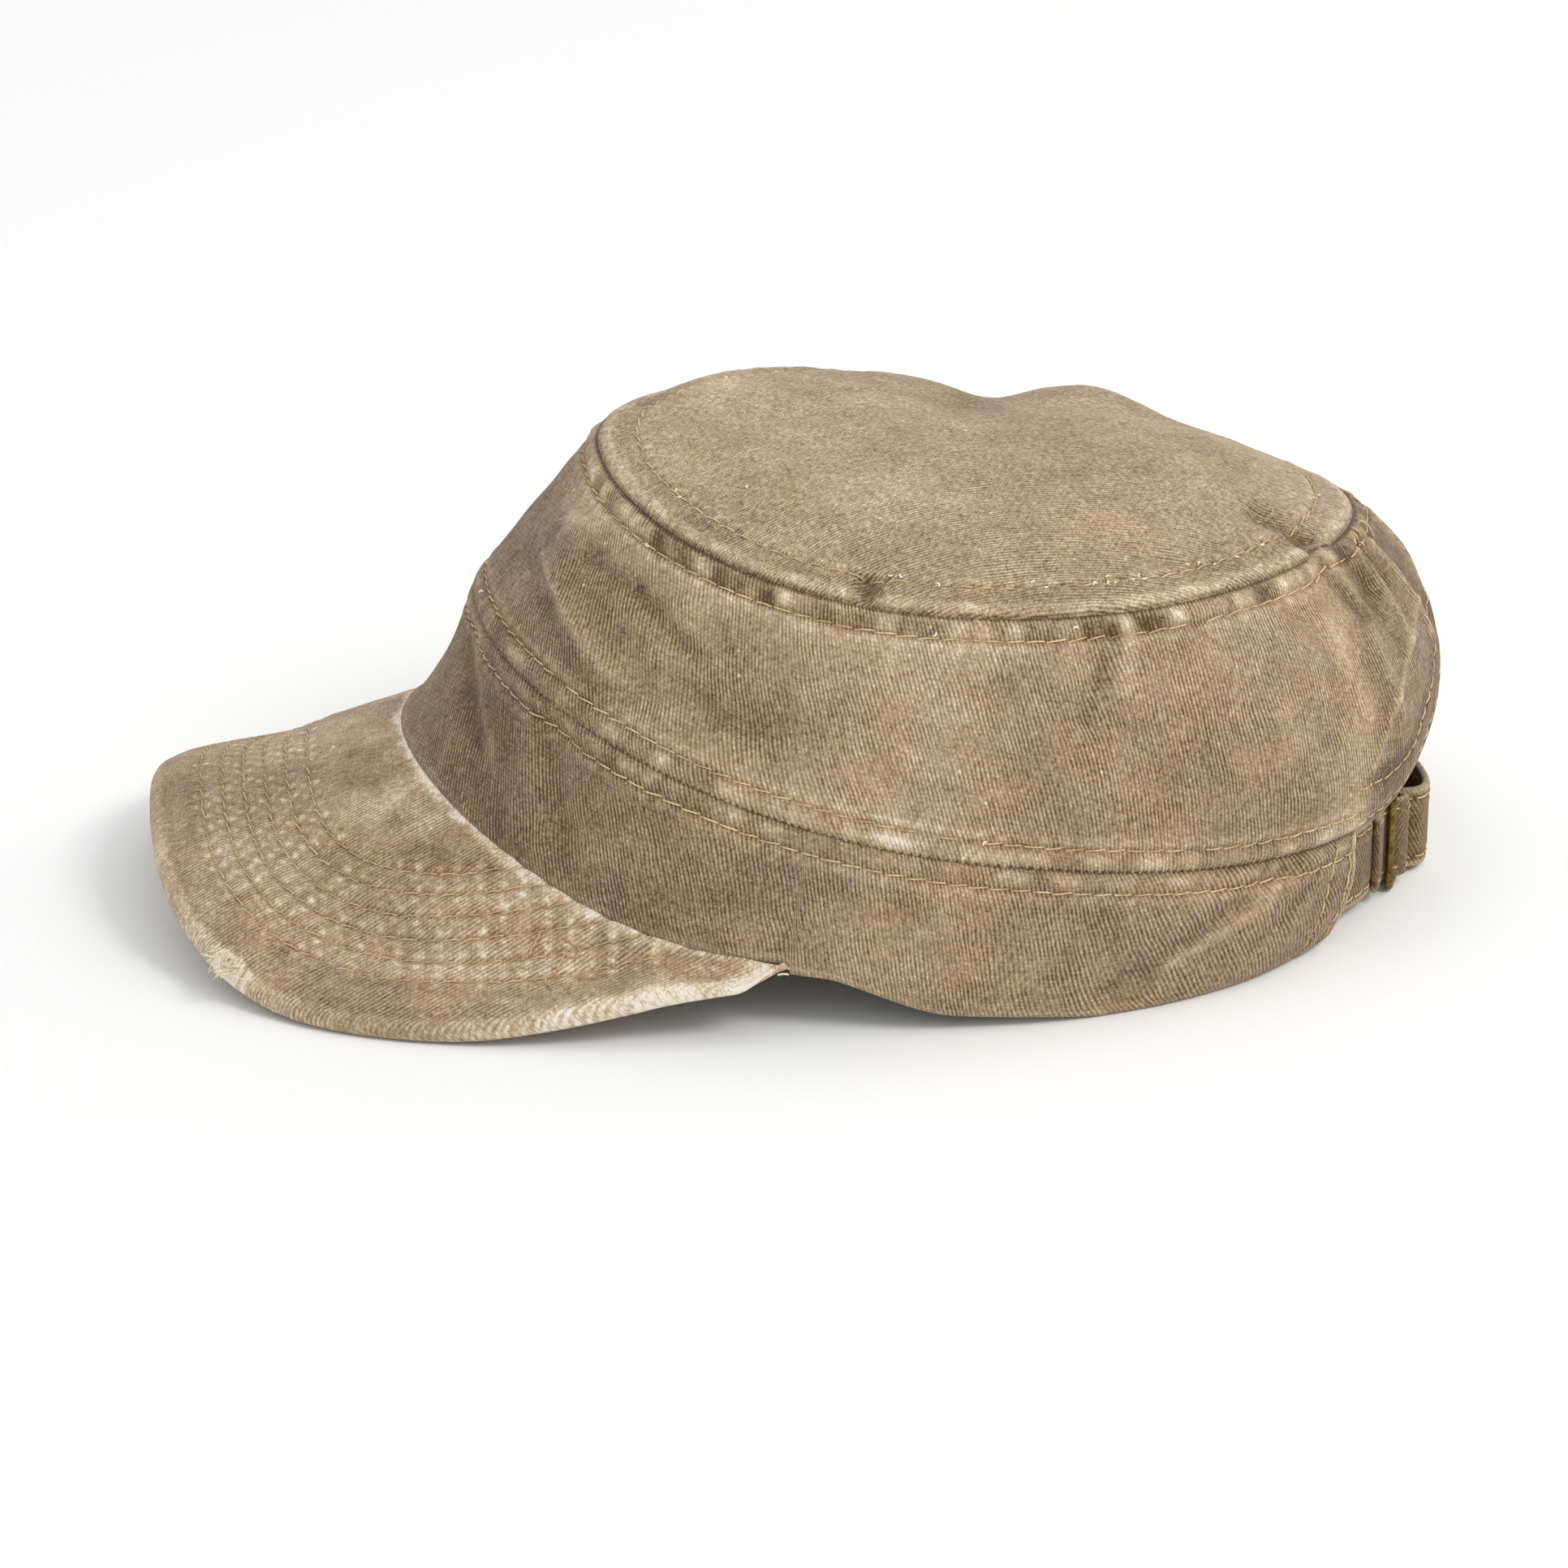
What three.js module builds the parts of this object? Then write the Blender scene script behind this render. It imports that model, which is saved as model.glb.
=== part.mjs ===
// Washed cotton-twill military cap: oval top, low side wall with a rear arch, band, stitched peak,
// sweatband, and a two-part rear strap with a wire buckle. Millimetres, +Z up, standing on z = 0.
// The peak points to -X and the wearer's left side to -Y. Angles run from the front over the left side.
import * as THREE from "three";

const RAD = Math.PI / 180;

// Driving sizes
const CLOTH = 1.6;
const BAND_CLOTH = 2.2;
const SWEAT_CLOTH = 1.0;
const PEAK_THICK = 3.6;
const STRAP_CLOTH = 1.5;
const GAP = 0.4;

// The three level curves of the cap. centre is along X; half and wide are the half length and half width;
// square is the superellipse power. The height runs as mean + slope cos + saddle cos 2 + ripple cos 3,
// and twist lifts the far front and near rear quarters.
const CURVES = {
  rim: { centre: 1.0, half: 99.0, wide: 88.4, square: 1.92 },
  seam: { centre: 8.7, half: 92.2, wide: 81.1, square: 2.18, mean: 36.4, slope: 17.4, saddle: 4.3, ripple: 0.3, twist: 0 },
  top: { centre: 15.6, half: 74.0, wide: 64.2, square: 2.1, mean: 78.6, slope: 7.0, saddle: 3.7, ripple: 0, twist: 2.6 },
};

// What the soft cloth adds to the curves and walls, in the eight directions round the head. A curve's
// row moves it outward, and a wall's row is how far the wall swells between its two curves.
const DIRECTIONS = ["front", "front_near", "near", "rear_near", "rear", "rear_far", "far", "front_far"];
const SOFT = {
  rim: { front: 0, front_near: 0, near: -4.5, rear_near: -1, rear: 0, rear_far: -1, far: -4.5, front_far: 0 },
  seam: { front: 0, front_near: 0, near: 0, rear_near: 0, rear: 0, rear_far: 0, far: 0, front_far: -6.5 },
  top: { front: 0, front_near: 0, near: 0, rear_near: 0, rear: -1, rear_far: -1, far: 0, front_far: -6.5 },
  wall: { front: 0.5, front_near: 1.5, near: 3, rear_near: 6, rear: 11.5, rear_far: 7, far: 3, front_far: -1.5 },
  band: { front: -2, front_near: 0.5, near: 2, rear_near: 2, rear: 1, rear_far: 1, far: 1, front_far: -3 },
};

// The lower edge behind the peak: its height above the surface by angle from the front.
const RIM_LIFT = [
  { angle: 69.5, lift: 4.0 },
  { angle: 90, lift: 2.8 },
  { angle: 98, lift: 1.6 },
  { angle: 107, lift: 0 },
  { angle: 127, lift: 0 },
  { angle: 136, lift: 1.6 },
  { angle: 180, lift: 1.4 },
];

// The peak's arched sheet: height on its centre line, slopes along X, and the droop to the sides.
const PEAK = {
  rootX: -97.6, rootZ: 32.9, slope: 0.27, curl: -0.0013,
  droop: 0.0055, droopEase: -0.0019, farDroop: 1.11,
  reach: 116.2, square: 2.77, cornerAngle: 69.5, edgeLift: 25, tuck: 0.6, below: 0.9,
};

// Rear opening: half angle at the band, and how far up the wall the arch reaches at its middle.
const ARCH = { halfAngle: 37, rise: 0.36 };

// Crowns of soft cloth on the top, by place, height and the two half widths.
const DOME = 6.0;
const HUMPS = [
  { x: -12, y: 52, high: 3.8, alongX: 38, alongY: 26 },
  { x: 47, y: 50, high: 5.0, alongX: 13, alongY: 24 },
  { x: 86, y: 20, high: -2.5, alongX: 16, alongY: 35 },
];

// Folds and dents in the walls. from and to are angles, low and high the heights on the wall from 0 to 1,
// half is the half width and deep the depth in mm, negative for a ridge.
const FOLDS = [
  { wall: "wall", from: 15, to: 34, low: 0.58, high: 0.2, half: 5, deep: -1.3 },
  { wall: "wall", from: 24, to: 42, low: 0.62, high: 0.22, half: 6, deep: 1.4 },
  { wall: "wall", from: 32, to: 47, low: 0.66, high: 0.53, half: 5, deep: 1.2 },
  { wall: "wall", from: 50, to: 68, low: 0.34, high: 0.46, half: 7, deep: 1.5 },
  { wall: "wall", from: 100, to: 97, low: 0.9, high: 0.58, half: 3.5, deep: 1.3 },
  { wall: "wall", from: 143, to: 151, low: 0.98, high: 0.76, half: 4, deep: 2.0 },
  { wall: "wall", from: -40, to: -62, low: 0.7, high: 0.35, half: 8, deep: 2.0 },
  { wall: "wall", from: -112, to: -128, low: 0.8, high: 0.4, half: 8, deep: 1.8 },
  { wall: "band", from: 33, to: 38, low: 0.95, high: 0.4, half: 5, deep: 1.3 },
  { wall: "band", from: 5, to: 21, low: 0.8, high: 0.4, half: 7, deep: 1.2 },
  { wall: "band", from: 109, to: 124, low: 0.1, high: 0.85, half: 5, deep: 1.0 },
  { wall: "band", from: 117, to: 132, low: 0.5, high: 0.86, half: 5, deep: -0.9 },
  { wall: "band", from: 68, to: 80, low: 0.1, high: 0.6, half: 6, deep: 0.8 },
];

// Mesh rows and stations
const STATIONS = 84;
const WALL_ROWS = 8;
const BAND_ROWS = 5;
const TOP_RINGS = 7;
const PEAK_STATIONS = 44;
const PEAK_ROWS = 8;
const SWEAT_STATIONS = 60;
const SWEAT_ROWS = 3;

const power = (value, exponent) => Math.sign(value) * Math.abs(value) ** exponent;
const mix = (a, b, share) => a + (b - a) * share;
const smooth = (share) => share * share * (3 - 2 * share);
const clamp = (value) => Math.min(1, Math.max(0, value));
const softFloor = (height, floor, round) => {
  const over = height - floor;
  if (over > round) return height;
  return over < -round ? floor : floor + (over + round) ** 2 / (4 * round);
};

// A row of SOFT between its eight directions.
function around(row, angle) {
  const turn = (((angle / (2 * Math.PI)) * 8) % 8 + 8) % 8;
  const before = Math.floor(turn);
  const share = smooth(turn - before);
  return mix(row[DIRECTIONS[before % 8]], row[DIRECTIONS[(before + 1) % 8]], share);
}

function plan(curve, angle) {
  return {
    x: curve.centre - curve.half * power(Math.cos(angle), 2 / curve.square),
    y: -curve.wide * power(Math.sin(angle), 2 / curve.square),
  };
}

function softPlan(name, angle) {
  const { x, y } = plan(CURVES[name], angle);
  const out = around(SOFT[name], angle);
  return { x: x - out * Math.cos(angle), y: y - out * Math.sin(angle) };
}

function peakHeight(x, y) {
  const run = x - PEAK.rootX;
  const far = clamp(y / 30) ** 2;
  const droop = PEAK.droop * (1 + (PEAK.farDroop - 1) * far) * (1 + PEAK.droopEase * run);
  return softFloor(PEAK.rootZ + PEAK.slope * run + PEAK.curl * run * run - droop * y * y, 0.2, 1.6);
}

const cornerAngle = PEAK.cornerAngle * RAD;
const corner = plan(CURVES.rim, cornerAngle);

function rimLift(degrees) {
  const next = Math.max(1, RIM_LIFT.findIndex((row) => row.angle >= degrees));
  const [a, b] = [RIM_LIFT[next - 1], RIM_LIFT[next]];
  return mix(a.lift, b.lift, clamp((degrees - a.angle) / (b.angle - a.angle)));
}

function rimHeight(angle, x, y) {
  const degrees = Math.abs(THREE.MathUtils.euclideanModulo(angle / RAD + 180, 360) - 180);
  if (degrees < PEAK.cornerAngle) return peakHeight(x, y);
  const side = Math.sin(angle) > 0 ? corner.y : -corner.y;
  const drop = 1 - smooth(clamp((degrees - PEAK.cornerAngle) / (90 - PEAK.cornerAngle)));
  return rimLift(degrees) + (peakHeight(corner.x, side) - RIM_LIFT[0].lift) * drop;
}

function level(name, angle) {
  const { x, y } = softPlan(name, angle);
  if (name === "rim") return new THREE.Vector3(x, y, rimHeight(angle, x, y));
  const { mean, slope, saddle, ripple, twist } = CURVES[name];
  const wave = slope * Math.cos(angle) + saddle * Math.cos(2 * angle) + ripple * Math.cos(3 * angle);
  return new THREE.Vector3(x, y, mean + wave - twist * Math.sin(2 * angle));
}

function humps(x, y) {
  let lift = 0;
  for (const hump of HUMPS) {
    lift += hump.high * Math.exp(-(((x - hump.x) / hump.alongX) ** 2) - ((y - hump.y) / hump.alongY) ** 2);
  }
  return lift;
}

// Depth of the folds of one wall at an angle and a height share.
function folds(wall, angle, share) {
  const reach = 80;
  const tall = 50;
  const degrees = THREE.MathUtils.euclideanModulo(angle / RAD + 180, 360) - 180;
  let depth = 0;
  for (const fold of FOLDS.filter((row) => row.wall === wall)) {
    const across = (fold.to - fold.from) * RAD * reach;
    const up = (fold.high - fold.low) * tall;
    const length = Math.hypot(across, up);
    const u = (degrees - fold.from) * RAD * reach;
    const v = (share - fold.low) * tall;
    const along = (u * across + v * up) / length;
    const beside = (u * up - v * across) / length;
    const past = Math.max(0, -along, along - length);
    depth += fold.deep * Math.exp(-((beside / fold.half) ** 2) - (past / fold.half) ** 2);
  }
  return depth;
}

// A point on the cloth between a lower and an upper curve, swollen outward by the SOFT row. Folds push
// it in level, so that the lower edge keeps its height.
function between(lower, upper, wall, centreX, angle, share, fullness) {
  const low = level(lower, angle);
  const high = level(upper, angle);
  const out = new THREE.Vector2((low.x + high.x) / 2 - centreX, (low.y + high.y) / 2).normalize();
  const lean = out.x * (high.x - low.x) + out.y * (high.y - low.y);
  const rise = high.z - low.z;
  const slant = Math.hypot(lean, rise);
  const swell = around(SOFT[wall], angle) * 4 * fullness * (1 - fullness);
  const outward = (rise * swell) / slant - folds(wall, angle, share);
  const point = low.clone().lerp(high, share);
  point.x += out.x * outward;
  point.y += out.y * outward;
  point.z -= (lean * swell) / slant;
  return point;
}

function bandPoint(angle, share) {
  return between("rim", "seam", "band", 4, angle, share, share);
}

function wallPoint(angle, share) {
  const point = between("seam", "top", "wall", 12, angle, share, share ** 0.82);
  point.z += humps(point.x, point.y) * share * share;
  return point;
}

function topPoint(angle, share) {
  const edge = level("top", angle);
  const middle = level("top", Math.PI / 2).z + 2;
  const weight = share ** 1.5;
  const x = CURVES.top.centre + (edge.x - CURVES.top.centre) * share;
  const y = edge.y * share;
  const z = edge.z * weight + middle * (1 - weight) + DOME * (1 - share ** 2.4);
  return new THREE.Vector3(x, y, z + humps(x, y));
}

// The inner face of a wall keeps each point's height and moves in level, so that edge faces stay level.
function inward(surface, thick, angle, share) {
  const point = surface(angle, share);
  const ahead = surface(angle + 0.01, share).sub(surface(angle - 0.01, share));
  const above = surface(angle, Math.min(1, share + 0.02)).sub(surface(angle, Math.max(0, share - 0.02)));
  const normal = ahead.cross(above).normalize();
  const flat = Math.hypot(normal.x, normal.y);
  const shift = thick / Math.max(0.55, flat);
  const side = Math.sign(normal.x * (point.x - 8) + normal.y * point.y);
  point.x -= (side * normal.x * shift) / flat;
  point.y -= (side * normal.y * shift) / flat;
  return point;
}

// One closed solid from a front grid and a back grid of the same size. Grids are lists of columns.
function shell(front, back, ring) {
  const columns = front.length;
  const rows = front[0].length;
  const points = [...front.flat(), ...back.flat()];
  const at = (side, column, row) => side * columns * rows + (column % columns) * rows + row;
  const faces = [];
  const quad = (a, b, c, d) => faces.push(a, b, c, a, c, d);
  const last = ring ? columns : columns - 1;
  for (let column = 0; column < last; column += 1) {
    for (let row = 0; row < rows - 1; row += 1) {
      quad(at(0, column, row), at(0, column + 1, row), at(0, column + 1, row + 1), at(0, column, row + 1));
      quad(at(1, column, row), at(1, column, row + 1), at(1, column + 1, row + 1), at(1, column + 1, row));
    }
    quad(at(0, column, 0), at(1, column, 0), at(1, column + 1, 0), at(0, column + 1, 0));
    quad(at(0, column, rows - 1), at(0, column + 1, rows - 1), at(1, column + 1, rows - 1), at(1, column, rows - 1));
  }
  if (!ring) {
    for (let row = 0; row < rows - 1; row += 1) {
      quad(at(0, 0, row), at(0, 0, row + 1), at(1, 0, row + 1), at(1, 0, row));
      quad(at(0, last, row), at(1, last, row), at(1, last, row + 1), at(0, last, row + 1));
    }
  }
  return solid(points, faces);
}

// A geometry from points and faces, turned so that its faces point outward.
function solid(points, faces) {
  let volume = 0;
  for (let i = 0; i < faces.length; i += 3) {
    const [a, b, c] = [points[faces[i]], points[faces[i + 1]], points[faces[i + 2]]];
    volume += a.dot(b.clone().cross(c));
  }
  if (volume < 0) faces.reverse();
  const geometry = new THREE.BufferGeometry().setFromPoints(points);
  geometry.setIndex(faces);
  geometry.computeVertexNormals();
  return geometry;
}

const range = (count, make) => Array.from({ length: count }, (_, index) => make(index));

// Side wall of the crown: a full ring at the top, cut up into the arch at the rear.
function crownSide() {
  const topShare = (angle) => 1 - (CLOTH + 2 * GAP) / (level("top", angle).z - level("seam", angle).z);
  const archBottom = (angle) => {
    const fromRear = Math.abs(angle - Math.PI) / RAD;
    const arch = clamp(fromRear / (ARCH.halfAngle + 1));
    return 0.009 + (ARCH.rise * (1 + Math.cos(Math.PI * arch))) / 2;
  };
  const column = (thick) => (station) => {
    const angle = (station / STATIONS) * 2 * Math.PI;
    const bottom = archBottom(angle);
    return range(WALL_ROWS + 1, (row) => {
      const share = mix(bottom, topShare(angle), row / WALL_ROWS);
      return thick ? inward(wallPoint, thick, angle, share) : wallPoint(angle, share);
    });
  };
  return shell(range(STATIONS, column(0)), range(STATIONS, column(CLOTH)), true);
}

// An open band of cloth between two angles, offset inward from the band surface.
function openBand(stations, rows, halfAngle, lowShare, highShare, inset, thick) {
  const column = (depth) => (station) => {
    const angle = mix(-halfAngle, halfAngle, station / stations) * RAD;
    const lift = inset ? 0.4 : 0;
    return range(rows + 1, (row) => {
      const share = mix(lowShare, highShare, row / rows);
      const point = depth ? inward(bandPoint, depth, angle, share) : bandPoint(angle, share);
      if (row === 0) point.z += lift;
      return point;
    });
  };
  return shell(range(stations + 1, column(inset)), range(stations + 1, column(inset + thick)), false);
}

const band = () => openBand(STATIONS - 12, BAND_ROWS, 180 - ARCH.halfAngle, 0, 0.99, 0, BAND_CLOTH);
const sweatband = () => {
  const inset = BAND_CLOTH + 2 * GAP;
  return openBand(SWEAT_STATIONS, SWEAT_ROWS, 171 - ARCH.halfAngle, 0.02, 0.8, inset, SWEAT_CLOTH);
};

// Oval top panel, domed, resting over the wall's upper edge.
function crownTop() {
  const ring = (share, drop) => range(STATIONS, (station) => {
    const point = topPoint((station / STATIONS) * 2 * Math.PI, share);
    point.z -= drop;
    return point;
  });
  const points = [];
  const faces = [];
  for (const drop of [0, CLOTH]) {
    for (let index = TOP_RINGS; index >= 1; index -= 1) points.push(...ring(index / TOP_RINGS, drop));
    const middle = topPoint(0, 0);
    middle.z -= drop;
    points.push(middle);
  }
  const side = STATIONS * TOP_RINGS + 1;
  const at = (layer, row, station) => layer * side + row * STATIONS + (station % STATIONS);
  for (let station = 0; station < STATIONS; station += 1) {
    for (let row = 0; row < TOP_RINGS - 1; row += 1) {
      const [a, b, c, d] = [at(0, row, station), at(0, row, station + 1), at(0, row + 1, station + 1), at(0, row + 1, station)];
      faces.push(a, b, c, a, c, d);
      const [e, f, g, h] = [a + side, b + side, c + side, d + side];
      faces.push(e, g, f, e, h, g);
    }
    const inner = TOP_RINGS - 1;
    faces.push(at(0, inner, station), at(0, inner, station + 1), side - 1);
    faces.push(at(1, inner, station + 1), at(1, inner, station), 2 * side - 1);
    faces.push(at(0, 0, station + 1), at(0, 0, station), at(1, 0, station));
    faces.push(at(0, 0, station + 1), at(1, 0, station), at(1, 0, station + 1));
  }
  return solid(points, faces);
}

// The peak: an arched sheet from under the band's front edge to its rounded outer edge.
function peak() {
  const halfWide = Math.abs(corner.y) + 1;
  const edgeAt = (turn, inset) => ({
    x: corner.x - (PEAK.reach - inset) * power(Math.cos(turn), 2 / PEAK.square),
    y: -(halfWide - inset) * power(Math.sin(turn), 2 / PEAK.square),
  });
  const column = (side) => (station) => {
    const share = station / PEAK_STATIONS;
    const turn = mix(-Math.PI / 2, Math.PI / 2, share);
    const edge = edgeAt(turn, 0.4);
    const outer = edgeAt(turn, 0);
    const angle = mix(-cornerAngle, cornerAngle, share);
    const root = softPlan("rim", angle);
    const tuck = mix(-0.6, PEAK.tuck, smooth(clamp((cornerAngle - Math.abs(angle)) / (9 * RAD))));
    root.x += tuck * Math.cos(angle);
    root.y += tuck * Math.sin(angle);
    const length = Math.hypot(root.x - outer.x, root.y - outer.y);
    return range(PEAK_ROWS + 1, (row) => {
      const step = (row / PEAK_ROWS) ** 1.3;
      const from = row === 0 ? outer : edge;
      const x = mix(from.x, root.x, step);
      const y = mix(from.y, root.y, step);
      const lift = PEAK_THICK * (1 - smooth(clamp(step * Math.max(1, length / PEAK.edgeLift)))) * (row === 0 ? 0.62 : 1);
      const top = peakHeight(x, y) - PEAK.below * smooth(clamp(2 * step)) + lift;
      if (side === 0) return new THREE.Vector3(x, y, top);
      const thick = row === 0 ? PEAK_THICK * 0.3 : PEAK_THICK;
      return new THREE.Vector3(x, y, Math.max(top - thick, row === 0 ? 0.5 : 0));
    });
  };
  return shell(range(PEAK_STATIONS + 1, column(0)), range(PEAK_STATIONS + 1, column(1)), false);
}

// A strap of cloth along a plan path, standing between two heights.
function strap(path, low, high, thick) {
  const curve = new THREE.CatmullRomCurve3(path.map(({ x, y }) => new THREE.Vector3(x, y, 0)), false, "centripetal");
  const stations = path.length * 5;
  const column = (offset) => (station) => {
    const share = station / stations;
    const point = curve.getPointAt(share);
    const tangent = curve.getTangentAt(share);
    const x = point.x + tangent.y * offset;
    const y = point.y - tangent.x * offset;
    return [new THREE.Vector3(x, y, low), new THREE.Vector3(x, y, (low + high) / 2), new THREE.Vector3(x, y, high)];
  };
  return shell(range(stations + 1, column(thick / 2)), range(stations + 1, column(-thick / 2)), false);
}

// The strap line behind the head: a parabola from one band end to the other, moved out by a distance.
const STRAP = { low: 2.4, high: 19.4, rearX: 99.0, flatten: 0.0077 };
const BUCKLE = { y: -25, long: 15, tall: 21.4, wire: 1.7, low: 0.3, out: 1.0 };
const strapLine = (y, out) => ({ x: STRAP.rearX - STRAP.flatten * y * y + out, y: y * (1 + out * 0.004) });

// The buckle's own frame: a distance along the strap, positive to the right, and one outward.
const buckleMiddle = strapLine(BUCKLE.y, BUCKLE.out);
const buckleAlong = new THREE.Vector3(-2 * STRAP.flatten * BUCKLE.y, 1, 0).normalize();
const bucklePoint = (along, out) => ({
  x: buckleMiddle.x + buckleAlong.x * along + buckleAlong.y * out,
  y: buckleMiddle.y + buckleAlong.y * along - buckleAlong.x * out,
});
const bar = (BUCKLE.long - BUCKLE.wire) / 2;
const wrap = BUCKLE.wire / 2 + 2 * GAP + STRAP_CLOTH / 2;

// Where a strap starts, sewn inside the end of the band: side is 1 on the left and -1 on the right.
const sewnEnd = (side) => [135, 141].map((angle) => {
  return inward(bandPoint, BAND_CLOTH + 2 * GAP + STRAP_CLOTH / 2, side * angle * RAD, 0.08);
});

// Short tab on the left: from inside the band end, round the buckle's near bar and back on itself.
function strapLeft() {
  const path = [
    ...sewnEnd(1), bucklePoint(-bar - 8, -wrap), bucklePoint(-bar - 2, -wrap), bucklePoint(-bar + 0.5, -wrap),
    bucklePoint(-bar + wrap, 0), bucklePoint(-bar + 0.5, wrap), bucklePoint(-bar - 3, wrap - 0.3),
    bucklePoint(-bar - 9, 0.4),
  ];
  return strap(path, STRAP.low, STRAP.high, STRAP_CLOTH);
}

// Long strap on the right: to the buckle, over its far bar, and back over itself in a loose loop.
function strapRight() {
  const path = [
    ...sewnEnd(-1), strapLine(42, 0), strapLine(20, 0), strapLine(-2, -0.6), bucklePoint(bar + 3, -wrap),
    bucklePoint(bar - 0.5, -wrap), bucklePoint(bar - wrap - 0.2, 0), bucklePoint(bar - 1.2, 3.4),
    bucklePoint(bar + 4, 4.4), strapLine(2, 3.8), strapLine(18, 2.8),
  ];
  return strap(path, STRAP.low, STRAP.high, STRAP_CLOTH);
}

// Rectangular wire buckle lying along the strap.
function buckle() {
  const outline = new THREE.Shape();
  const [halfLong, halfTall] = [BUCKLE.long / 2, BUCKLE.tall / 2];
  const box = (target, a, b, round) => {
    target.moveTo(-a + round, -b).lineTo(a - round, -b).quadraticCurveTo(a, -b, a, -b + round);
    target.lineTo(a, b - round).quadraticCurveTo(a, b, a - round, b);
    target.lineTo(-a + round, b).quadraticCurveTo(-a, b, -a, b - round);
    target.lineTo(-a, -b + round).quadraticCurveTo(-a, -b, -a + round, -b);
  };
  box(outline, halfLong, halfTall, 2.0);
  const hole = new THREE.Path();
  box(hole, halfLong - BUCKLE.wire, halfTall - BUCKLE.wire, 0.8);
  outline.holes.push(hole);
  const thin = BUCKLE.wire - 0.6;
  const geometry = new THREE.ExtrudeGeometry(outline, {
    depth: thin, bevelEnabled: true, bevelSize: -0.3, bevelOffset: 0, bevelThickness: 0.3, bevelSegments: 1, curveSegments: 3,
  });
  geometry.translate(0, 0, -thin / 2);
  const up = new THREE.Vector3(0, 0, 1);
  const frame = new THREE.Matrix4().makeBasis(buckleAlong, up, buckleAlong.clone().cross(up));
  frame.setPosition(buckleMiddle.x, buckleMiddle.y, BUCKLE.low + halfTall);
  geometry.applyMatrix4(frame);
  return geometry;
}

const MATERIALS = {
  twill: new THREE.MeshStandardMaterial({ color: 0xa39178, roughness: 0.95, metalness: 0 }),
  peakTwill: new THREE.MeshStandardMaterial({ color: 0xa69179, roughness: 0.95, metalness: 0 }),
  lining: new THREE.MeshStandardMaterial({ color: 0x2c2e36, roughness: 0.9, metalness: 0 }),
  strapTwill: new THREE.MeshStandardMaterial({ color: 0x7b654c, roughness: 0.95, metalness: 0 }),
  brass: new THREE.MeshStandardMaterial({ color: 0x6e5c3a, roughness: 0.45, metalness: 1 }),
};

const PIECES = [
  { name: "crown_top", shape: crownTop, material: MATERIALS.twill },
  { name: "crown_side", shape: crownSide, material: MATERIALS.twill },
  { name: "band", shape: band, material: MATERIALS.twill },
  { name: "peak", shape: peak, material: MATERIALS.peakTwill },
  { name: "sweatband", shape: sweatband, material: MATERIALS.lining },
  { name: "strap_left", shape: strapLeft, material: MATERIALS.strapTwill },
  { name: "strap_right", shape: strapRight, material: MATERIALS.strapTwill },
  { name: "buckle", shape: buckle, material: MATERIALS.brass },
];

const cap = new THREE.Group();
for (const { name, shape, material } of PIECES) {
  const mesh = new THREE.Mesh(shape(), material);
  mesh.name = name;
  cap.add(mesh);
}

// The origin is under the middle of the cap's box.
const box = new THREE.Box3().setFromObject(cap);
cap.position.set(-(box.min.x + box.max.x) / 2, -(box.min.y + box.max.y) / 2, 0);

export default cap;
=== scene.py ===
# %% [markdown]
# # A washed cotton-twill cap
# This lesson builds a soft, garment-washed cap: an oval top, a low side wall, a band, a stitched peak and
# a rear strap with a small wire buckle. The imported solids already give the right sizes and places, so each
# cloth piece here is a fine skin over the same curves, with seams, puckers, worn edges and real stitches.
# Sizes are in millimetres while shapes are worked out, and become metres when a mesh is made.

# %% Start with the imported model
import math
import bmesh
import bpy
import numpy as np
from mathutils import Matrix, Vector


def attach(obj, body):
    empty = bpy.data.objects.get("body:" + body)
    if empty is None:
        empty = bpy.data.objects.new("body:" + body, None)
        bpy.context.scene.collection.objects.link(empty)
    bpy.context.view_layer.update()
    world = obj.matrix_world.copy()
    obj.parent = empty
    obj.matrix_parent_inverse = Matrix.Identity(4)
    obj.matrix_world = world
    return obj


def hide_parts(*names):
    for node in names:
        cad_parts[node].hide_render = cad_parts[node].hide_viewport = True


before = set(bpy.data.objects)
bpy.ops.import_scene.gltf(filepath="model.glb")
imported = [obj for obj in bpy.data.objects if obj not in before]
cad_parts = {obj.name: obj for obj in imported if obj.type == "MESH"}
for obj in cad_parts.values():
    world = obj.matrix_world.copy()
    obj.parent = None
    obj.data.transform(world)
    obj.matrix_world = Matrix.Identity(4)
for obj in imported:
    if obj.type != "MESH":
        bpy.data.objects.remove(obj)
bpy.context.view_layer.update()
print("nodes", sorted(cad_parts))

# %% [markdown]
# The cap was drawn round its head opening, and the library stands it on the middle of its box. One shift
# takes every point from the first place to the second.

# %% The shift and the units
SHIFT = np.array([20.492332, 0.3585968, 0.0])
MM = 0.001
RAD = math.pi / 180


def place(points):
    return (np.asarray(points, dtype=float) + SHIFT) * MM

# %% [markdown]
# The camera looks at the wearer's left side from a metre away, a little to the front and 23 degrees above
# the table. A long lens keeps the cap's sides nearly parallel.

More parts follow.
